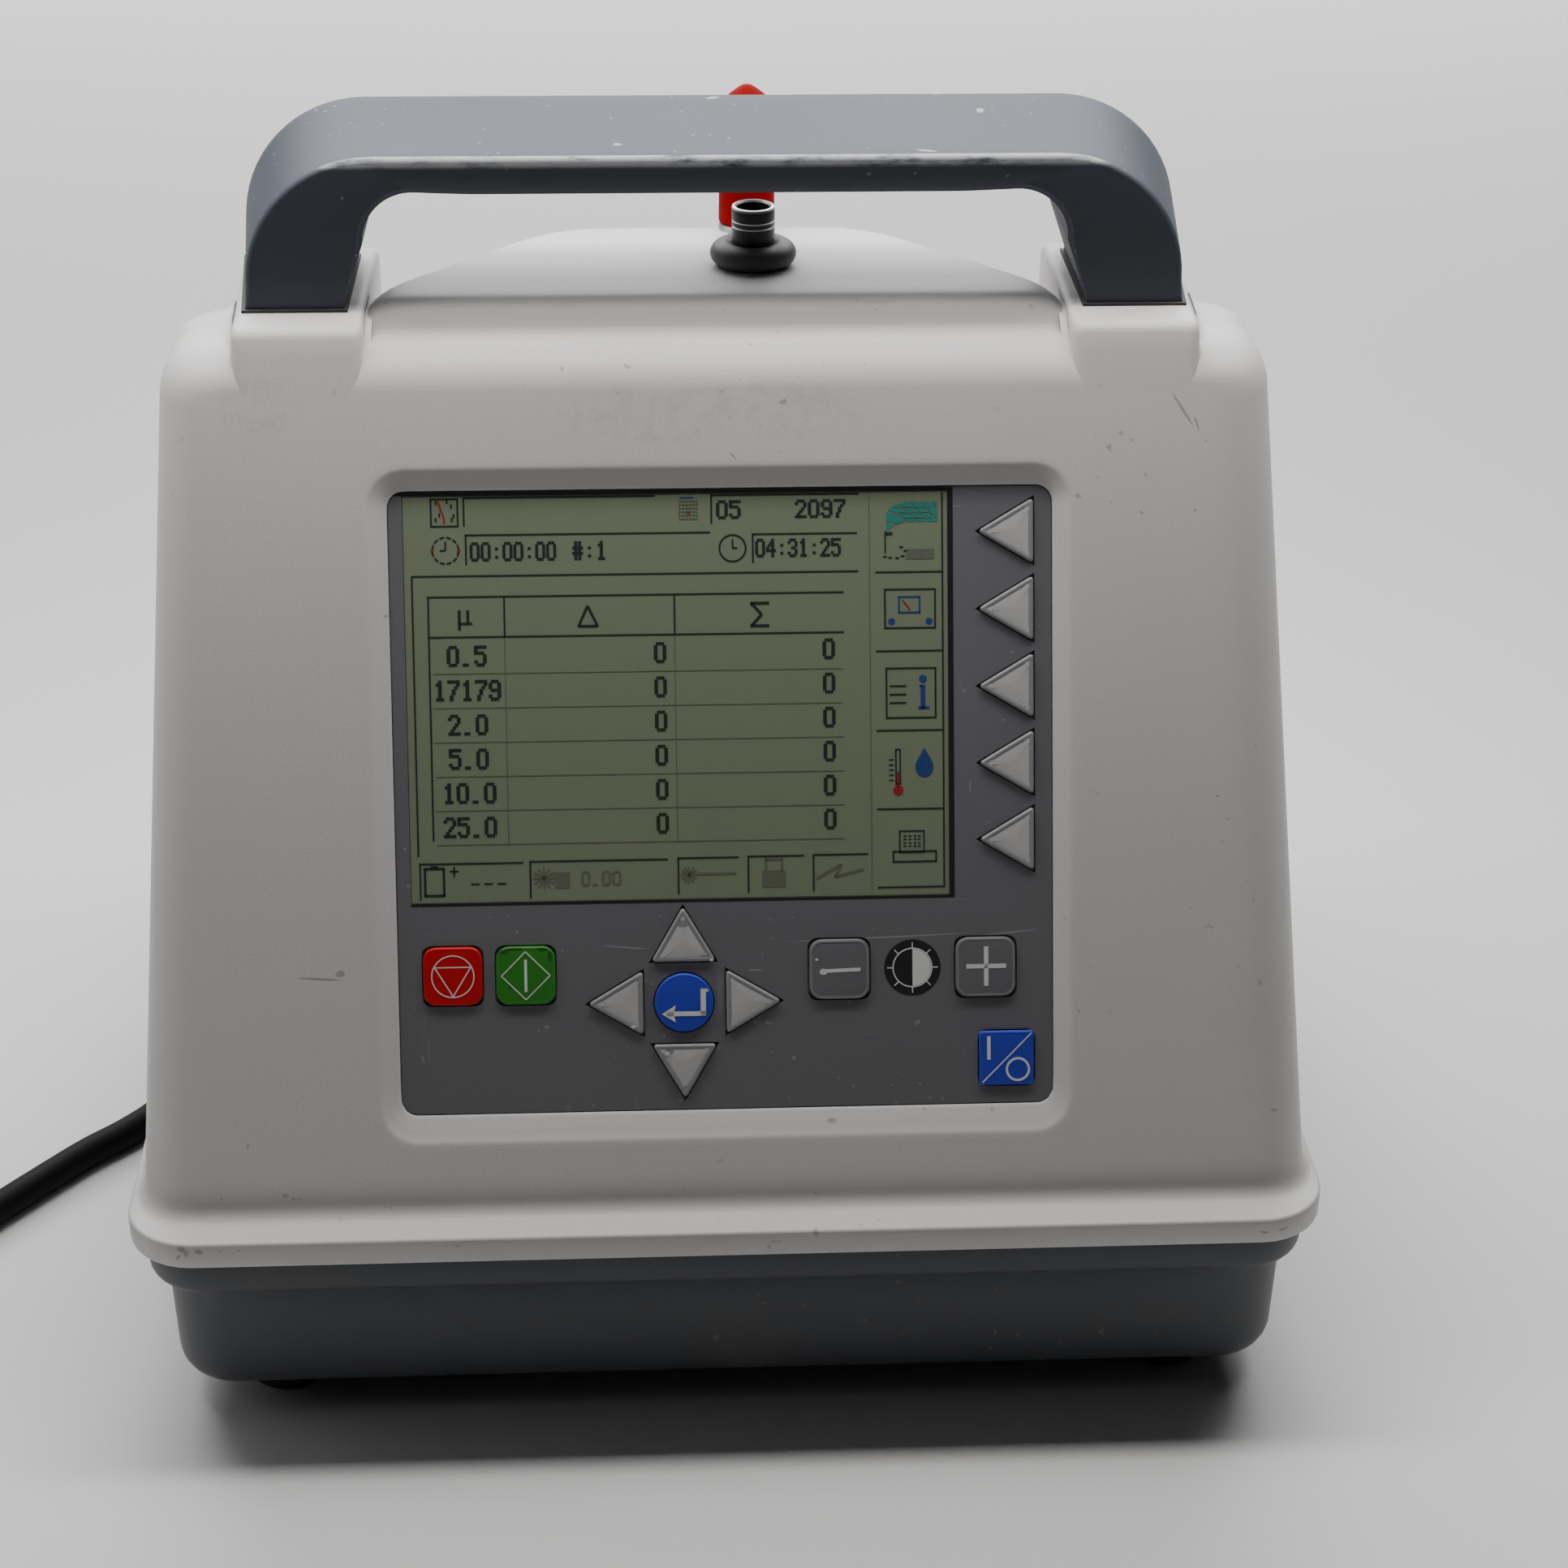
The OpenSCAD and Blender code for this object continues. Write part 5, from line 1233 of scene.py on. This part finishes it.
def screen_dials(dark, faint, blue, red):
    """Two dials, a calendar and a small plot over the table."""
    u, v = -58.3, 54.2
    for a in np.radians(np.arange(15, 360, 30)):
        d = np.array([math.cos(a), math.sin(a)]) * 2.75
        t = np.array([-math.sin(a), math.cos(a)]) * 0.5
        dark.line(d - t + [u, v], d + t + [u, v], DOT_PITCH)
    dark.lines(0.34, ((u, v), (u, v + 1.9)), ((u - 1.2, v), (u, v)))
    u, v = 2.3, 54.0
    dark.ring((u, v), 2.8, DOT_PITCH, 28)
    dark.lines(0.34, ((u, v), (u, v + 1.9)), ((u, v), (u + 1.0, v)))
    for s in (-1, 1):
        red.bar(-58.3 + s * 2.8 - 0.3, 53.9, -58.3 + s * 2.8 + 0.3, 54.5)
    for i in range(6):
        faint.bar(-8.9 + i * 0.75, 60.0, -8.76 + i * 0.75, 64.1)
        faint.bar(-9.0, 60.2 + i * 0.75, -5.0, 60.34 + i * 0.75)
    blue.bar(-8.7, 64.6, -5.9, 64.9)
    red.bar(-7.2, 61.3, -6.6, 61.9)
    for u, v in ((-60.3, 63.8), (-59.6, 61.2), (-60.4, 60.2), (-58.0, 64.0), (-57.1, 63.0), (-56.6, 61.0),
                 (-57.0, 60.2)):
        dark.bar(u, v, u + DOT_PITCH, v + 0.9)
    red.lines(DOT_PITCH, ((-59.7, 64.6), (-59.1, 62.6)), ((-59.1, 62.6), (-58.6, 61.6)),
              ((-58.6, 61.6), (-58.4, 59.8)))


def screen_icons(dark, faint, blue, red, teal):
    """Five small pictures down the right, one beside each soft key."""
    for v in (48.5, 31.7, 14.7, -2.2, -19.1):
        dark.bar(32.6, v - 0.18, 46.9, v + 0.18)
    dark.bar(46.75, -19.2, 47.1, 65.3)
    # a dotted wave whose top is a falling curve
    for i in range(28):
        u = 35.0 + 0.39 * i
        top_v = 63.4 - 0.085 * max(0, 39.5 - u) ** 2
        for j in range(11):
            if (i * 7 + j * 5) % 6 and top_v - 0.39 * j > 57.6 + 0.05 * (u - 35) ** 1.5:
                teal.bar(u, top_v - 0.39 * (j + 1), u + 0.39, top_v - 0.39 * j)
    for j, v in enumerate((62.0, 60.9, 59.8)):
        faint.bar(36.6 + j, v, 44.8, v + 0.2)
    dark.bar(34.6, 52.6, 34.9, 57.2)
    dark.bar(34.9, 56.3, 36.3, 57.0)
    for u, v in ((34.3, 51.6), (35.4, 51.4), (36.9, 51.3), (38.1, 51.7), (38.7, 52.8), (37.8, 53.6)):
        dark.bar(u, v, u + 0.75, v + DOT_PITCH)
    faint.bar(39.2, 51.2, 45.2, 53.4)
    # a meter
    dark.frame_line(34.6, 36.6, 45.3, 44.8, DOT_PITCH)
    blue.frame_line(37.6, 39.9, 42.0, 43.2, DOT_PITCH)
    red.line((38.4, 42.5), (40.0, 40.4), 0.34)
    blue.disc((36.0, 38.0), 0.75, 12)
    blue.disc((44.0, 38.0), 0.75, 12)
    # a page
    dark.frame_line(34.8, 17.4, 45.3, 28.0, DOT_PITCH)
    for v in (24.2, 22.4, 20.6):
        dark.bar(35.5, v - 0.18, 39.0, v + 0.18)
    blue.disc((42.6, 25.7), 0.85, 12)
    blue.bar(42.1, 19.2, 43.1, 24.4)
    blue.bar(41.6, 19.2, 43.9, 19.8)
    blue.bar(41.9, 23.9, 42.6, 24.4)
    # a thermometer and a drop
    dark.frame_line(36.7, 3.2, 37.6, 10.6, 0.3)
    red.bar(36.9, 2.4, 37.4, 5.8)
    red.disc((37.15, 1.8), 1.1, 16)
    for v in (3.9, 5.0, 6.1, 7.2, 8.3):
        dark.bar(35.2, v, 36.2, v + 0.25)
    c, s = round_points(0, 360, 28, False).T
    narrow = np.where(s < 0.3, 1, np.maximum(0, 1.25 - s) ** 0.9)
    blue.blot(np.stack([42.8 + 1.9 * c * narrow, 6.6 + np.where(s < 0, 2.0, 4.2) * s], -1))
    # a printer
    dark.frame_line(36.0, -13.6, 45.2, -11.4, DOT_PITCH)
    dark.frame_line(37.4, -11.6, 42.6, -7.0, 0.3)
    for v in (-8.2, -8.9, -9.7, -10.4):
        for u in (38.2, 39.3, 40.4, 41.3):
            dark.bar(u, v, u + 0.6, v + 0.25)


def screen_status(dark, faint):
    """Five boxes along the foot: battery, fan and flow, beam, lock and spark."""
    for u0, v0, u1, v1 in ((-65.2, -19.9, -43.4, -12.4), (-41.8, -19.9, -12.6, -12.2),
                           (-10.2, -19.6, 2.6, -12.0), (4.8, -19.5, 16.6, -11.9), (18.8, -19.4, 30.4, -11.8)):
        dark.frame_line(u0, v0, u1, v1, DOT_PITCH, "lt")
    dark.frame_line(-64.2, -19.2, -60.2, -13.4, 0.5)
    dark.bar(-63.0, -13.4, -61.4, -12.8)
    dark.lines(0.34, ((-58.9, -14.0), (-57.1, -14.0)), ((-58.0, -13.0), (-58.0, -15.2)))
    for u in (-54.4, -51.6, -48.8):
        dark.bar(u, -17.0, u + 1.8, -16.65)
    for d in round_points(0, 180, 6, False):
        faint.line(d * 2.4 + [-38.9, -15.8], -d * 2.4 + [-38.9, -15.8], 0.4)
        faint.line(d * 1.8 + [-7.9, -15.6], -d * 1.8 + [-7.9, -15.6], 0.34)
    faint.bar(-36.6, -18.0, -33.4, -14.6)
    faint.digits("0.00", -31.0, -17.6, 3.2, 2.2)
    faint.bar(-6.0, -15.7, 2.2, -15.2)
    faint.bar(7.8, -18.6, 12.8, -15.0)
    faint.frame_line(8.6, -15.2, 12.0, -12.6, 0.5, "lrt")
    faint.lines(0.6, ((19.4, -16.9), (24.8, -13.9)), ((24.8, -13.9), (23.4, -16.6)),
                ((23.4, -16.6), (29.6, -15.0)))


def screen_picture(black):
    """Everything that the display shows, one piece for each colour, and black strips round it that are
    painted shade of the bezel on the window.
    """
    inks = {"dark": (0.018, 0.024, 0.022), "faint": (0.125, 0.14, 0.1), "blue": (0.02, 0.05, 0.2),
            "red": (0.3, 0.02, 0.02), "teal": (0.03, 0.22, 0.18)}
    figures = {name: Print(WINDOW_W) for name in inks}
    dark, faint, blue, red, teal = figures.values()
    screen_boxes(dark)
    screen_figures(dark, faint)
    screen_dials(dark, faint, blue, red)
    screen_icons(dark, faint, blue, red, teal)
    screen_status(dark, faint)
    for name, figure in figures.items():
        figure.piece(f"screen_{name}_print", ink("screen_" + name, inks[name]), "case", "display")
    left, low, right, high = SCREEN
    # black strips along the window's top, right and bottom: painted shade cast by the bezel
    edge = Print(0.0)
    for box in ((right + 0.1, low - 0.75, right + 1.15, high + 0.8),
                (left - 0.1, low - 0.75, right + 0.1, low - 0.12),
                (left - 2.4, high + 0.12, right + 0.1, high + 0.8)):
        edge.bar(*box, lift=0.03)
    edge.piece("screen_bezel_shade", black, "case", "panel")


# ---------- cord ----------

def cord_path():
    """The route as a smooth line through its points, each span a cubic between two points whose slopes come
    from their neighbours; then six turns, three wide and two high; then into the plug."""
    p = np.array(CORD_ROUTE, float)
    p = np.concatenate([[2 * p[0] - p[1]], p, [2 * p[-1] - p[-2] + [-4, -4, 0]]])
    t = np.linspace(0, 1, 9)[:-1, None, None]
    a, b, c, d = p[:-3], p[1:-2], p[2:-1], p[3:]
    square, cube = (2 * a - 5 * b + 4 * c - d) * t ** 2, (3 * b - a - 3 * c + d) * t ** 3
    spline = 0.5 * (2 * b + (c - a) * t + square + cube)
    route = spline.transpose(1, 0, 2).reshape(-1, 3)
    route = np.concatenate([route, [np.array(CORD_ROUTE[-1], float)]])
    # turns: angle travelled, radius and height
    first = math.degrees(math.atan2(CORD_ROUTE[-1][1] - COIL_AT[1], CORD_ROUTE[-1][0] - COIL_AT[0]))
    travelled = np.arange(8, 360 * 5 + first + 180 + 1e-6, 5.0)
    outer, mid, inner = (COIL_D / 2 + k * CORD_D for k in (1, 0, -1))
    low, high = CORD_D / 2 + 0.1, CORD_D * 1.5 + 0.25
    radius = np.interp(travelled, [0, 295, 355, 650, 710, 1100, 1160, 1450, 1510, 2400],
                       [outer, outer, mid, mid, inner, inner, mid, mid, outer, outer])
    height = np.interp(travelled, [0, 980, 1040, 2400], [low, low, high, high])
    angle = np.radians(first - travelled)
    coil = np.stack([COIL_AT[0] + radius * np.cos(angle), COIL_AT[1] + radius * np.sin(angle), height], -1)
    end_x = COIL_AT[0] - outer
    tail = np.array([(end_x, y, z) for y, z in
                     ((-44, high + 0.1), (-38, PLUG_Z - 0.2), (-26, PLUG_Z), (-14, PLUG_Z))])
    return np.concatenate([route, coil, tail])


def smooth_path(path, rounds):
    """Each inner point moves halfway to the mean of its neighbours, a few times."""
    for _ in range(rounds):
        path[1:-1] = 0.5 * path[1:-1] + 0.25 * (path[:-2] + path[2:])
    return path


def make_cord(material):
    """A round section carried along the path, closed at both ends; its frame is turned with the path."""
    path = smooth_path(cord_path(), 3)
    along = np.gradient(path, axis=0)
    along /= np.linalg.norm(along, axis=1, keepdims=True)
    side = np.cross(along, [0.03, 0.02, 1])
    side /= np.linalg.norm(side, axis=1, keepdims=True)
    over = np.cross(side, along)
    n = 14
    c, s = round_points(0, 360, n, False).T[:, None, :, None] * CORD_D / 2
    rows = path[:, None] + c * side[:, None] + s * over[:, None]
    rows = np.concatenate([np.repeat(path[:1, None], n, 1), rows, np.repeat(path[-1:, None], n, 1)])
    piece = build_piece("mains_cord", rows.reshape(-1, 3), grid_faces(len(rows), n), material, smooth=60)
    return piece, path


# ---------- top fittings ----------

def tube_profile():
    """Up the tube's outside, past two shallow rings, over the bevelled mouth and down its bore."""
    groove = TUBE_R - 0.14
    profile = [(TUBE_BORE, 205), (4.3, 205), (4.3, 229), (TUBE_R, 229.4)]
    for low, high in TUBE_RINGS:
        profile += [(TUBE_R, low - 0.05), (groove, low + 0.08), (groove, high - 0.08), (TUBE_R, high + 0.05)]
    return profile + [(TUBE_R, TUBE_TOP - 0.5), (groove, TUBE_TOP - 0.12), (TUBE_R - 0.42, TUBE_TOP),
                      (TUBE_BORE + 0.35, TUBE_TOP), (TUBE_BORE, TUBE_TOP - 0.45), (TUBE_BORE, 205)]


def grommet_profile():
    """A plain wall in the hood under a lip: an arc of thickness * cos outwards by 2.75 mm * sin upwards."""
    hood = HOOD_Z - HOOD_FALL * (TUBE_AT[1] - HOOD_Y)
    lip = [(GROMMET_R + GROMMET_THICK * math.cos(a), hood + 2.7 + 2.75 * math.sin(a))
           for a in np.radians(np.arange(-80, 96, 10))]
    inside, top = TUBE_R + 0.02, lip[-1][1]
    return [(inside, hood - 4), (GROMMET_R, hood - 4), *lip, (TUBE_R + 0.5, top - 0.15), (inside, top - 0.6),
            (inside, hood - 4)]


def cap_profile():
    """A thimble: the hollow for the port, a round lower edge, a slight taper and a domed end."""
    return [(0, 252.6), (3.5, 250.6), (3.5, CAP_LOW), (CAP_R - 0.25, CAP_LOW), (CAP_R, CAP_LOW + 0.3),
            (CAP_R - 0.2, 243), (CAP_R - 0.7, 250), (CAP_R - 1.2, 254.6), (CAP_R - 1.7, 256.1),
            (CAP_R - 2.5, 257), (2.2, 258.4), (1.1, 259.1), (0, 259.4)]


def collar_profile():
    """The port: a wide collar under the cap and a spigot inside it."""
    return [(2, 208), (CAP_R, 208), (CAP_R, CAP_LOW - 0.8), (CAP_R - 0.3, CAP_LOW - 0.3),
            (3.5, CAP_LOW - 0.3), (3.5, 244.6), (2, 244.6), (2, 208)]


def make_fittings(steel):
    """Inlet tube, its grommet, the red cap and the port under it, all turned."""
    tube = turned("inlet_tube_shell", tube_profile(), TUBE_AT, tube_finish())
    dress(tube, "case", "black_metal", "inlet_tube")
    lip = rubber("grommet_rubber", (0.15, 0.15, 0.153), 0.5)
    grommet = turned("inlet_grommet_ring", grommet_profile(), TUBE_AT, lip)
    dress(grommet, "case", "black_rubber", "inlet_grommet")
    cap = turned("red_cap_skin", cap_profile(), PORT_AT, cap_finish())
    dress(cap, "case", "red_plastic", "red_cap")
    collar = turned("rear_port_collar", collar_profile(), PORT_AT, steel)
    dress(collar, "case", "steel", "rear_port")


# ---------- assembly ----------

def make_room():
    """Floor, lamps and a faint even light."""
    far = 6000
    floor = build_piece("floor", [(-far, -far, 0), (far, -far, 0), (far, far, 0), (-far, far, 0)],
                        [(0, 1, 2, 3)], floor_finish(), turn_out=False)
    white = (1.0, 1.0, 1.0)
    set_light("lamp_strip", (0.0, -0.03, 0.43), (0, -0.03, 0), (0.56, 0.05), 1.3, (1.0, 0.985, 0.97))
    set_light("ceiling_near", (0.0, 0.08, 0.5), (0, 0.08, 0), (0.8, 0.2), 1.7, white)
    set_light("ceiling_far", (0.0, 0.3, 0.55), (0, 0.3, 0), (0.9, 0.26), 0.6, white)
    set_light("rear_panel", (0.0, 2.4, 1.5), (0, 2.0, 0), (3.2, 1.8), 125, white)
    set_light("left_panel", (-0.7, 0.0, 0.4), (0, 0.0, 0.15), (0.6, 0.5), 0.8, (0.98, 0.99, 1.0))
    world = bpy.data.worlds.new("room")
    bpy.context.scene.world = world
    world.use_nodes = True
    background = world.node_tree.nodes["Background"]
    background.inputs[0].default_value = (0.95, 0.97, 1.0, 1)
    background.inputs[1].default_value = 0.012


def slot_finishes(steel, cord_black):
    """What the CAD nodes that are shown as they are wear, by their slot."""
    return {"black_rubber": rubber("rubber_black"), "steel": steel, "cord": cord_black,
            "plate": bare_metal("plate_brushed", (0.66, 0.67, 0.68), 0.32, (1, 14, 1)),
            "black_plastic": moulded("fitting_black", (0.02, 0.02, 0.021), (0.12, 0.11, 0.1), 0.03, 0.45),
            "black_metal": rubber("anodised_black", (0.02, 0.02, 0.022), 0.4),
            "panel": panel_finish(), "display": screen_finish(), "board": board_finish(),
            "hose": moulded("hose_milky", (0.55, 0.55, 0.5), (0.4, 0.36, 0.3), 0.02, 0.3),
            "white_plastic": moulded("plastic_white", (0.62, 0.62, 0.6), (0.4, 0.36, 0.3), 0.03, 0.4),
            "battery": moulded("battery_sleeve", (0.03, 0.06, 0.2), (0.1, 0.1, 0.12), 0.03, 0.35)}


set_camera()
make_room()

cord_black = rubber("cord_vinyl", (0.005, 0.005, 0.0055), 0.6, 0.04, 0.12)
cord, cord_line = make_cord(cord_black)
dress(cord, "case", "cord", "power_cord", "cord_coil")
[c * MM for c in cord_line[0]]
[[c * MM for c in p] for p in cord_line]

cover_plastic = cover_finish()
tray_plastic = moulded("tray_plastic", (0.058, 0.062, 0.07), grain=0.05, rough=0.46)
dress(make_cover(cover_plastic), "case", "cover", "upper_cover")
for side, name in ((-1, "handle_boss_left"), (1, "handle_boss_right")):
    dress(make_boss(name, side, cover_plastic), "case", "cover")
dress(make_tray(tray_plastic), "case", "tray", "lower_tray")
dress(make_handle(handle_finish()), "case", "handle", "carry_handle")

steel = bare_metal("steel_turned")
make_fittings(steel)
make_keys()
sign_white = ink("sign_white", (0.66, 0.66, 0.65))
sign_black = ink("sign_black", (0.012, 0.012, 0.013))
key_signs(sign_white)
contrast_sign(sign_white, sign_black)
screen_picture(sign_black)

finishes = slot_finishes(steel, cord_black)
for node, piece in frame["nodes"].items():
    finish = finishes.get(SLOT_OF[node])
    if finish:
        piece.data.materials.clear()
        piece.data.materials.append(finish)
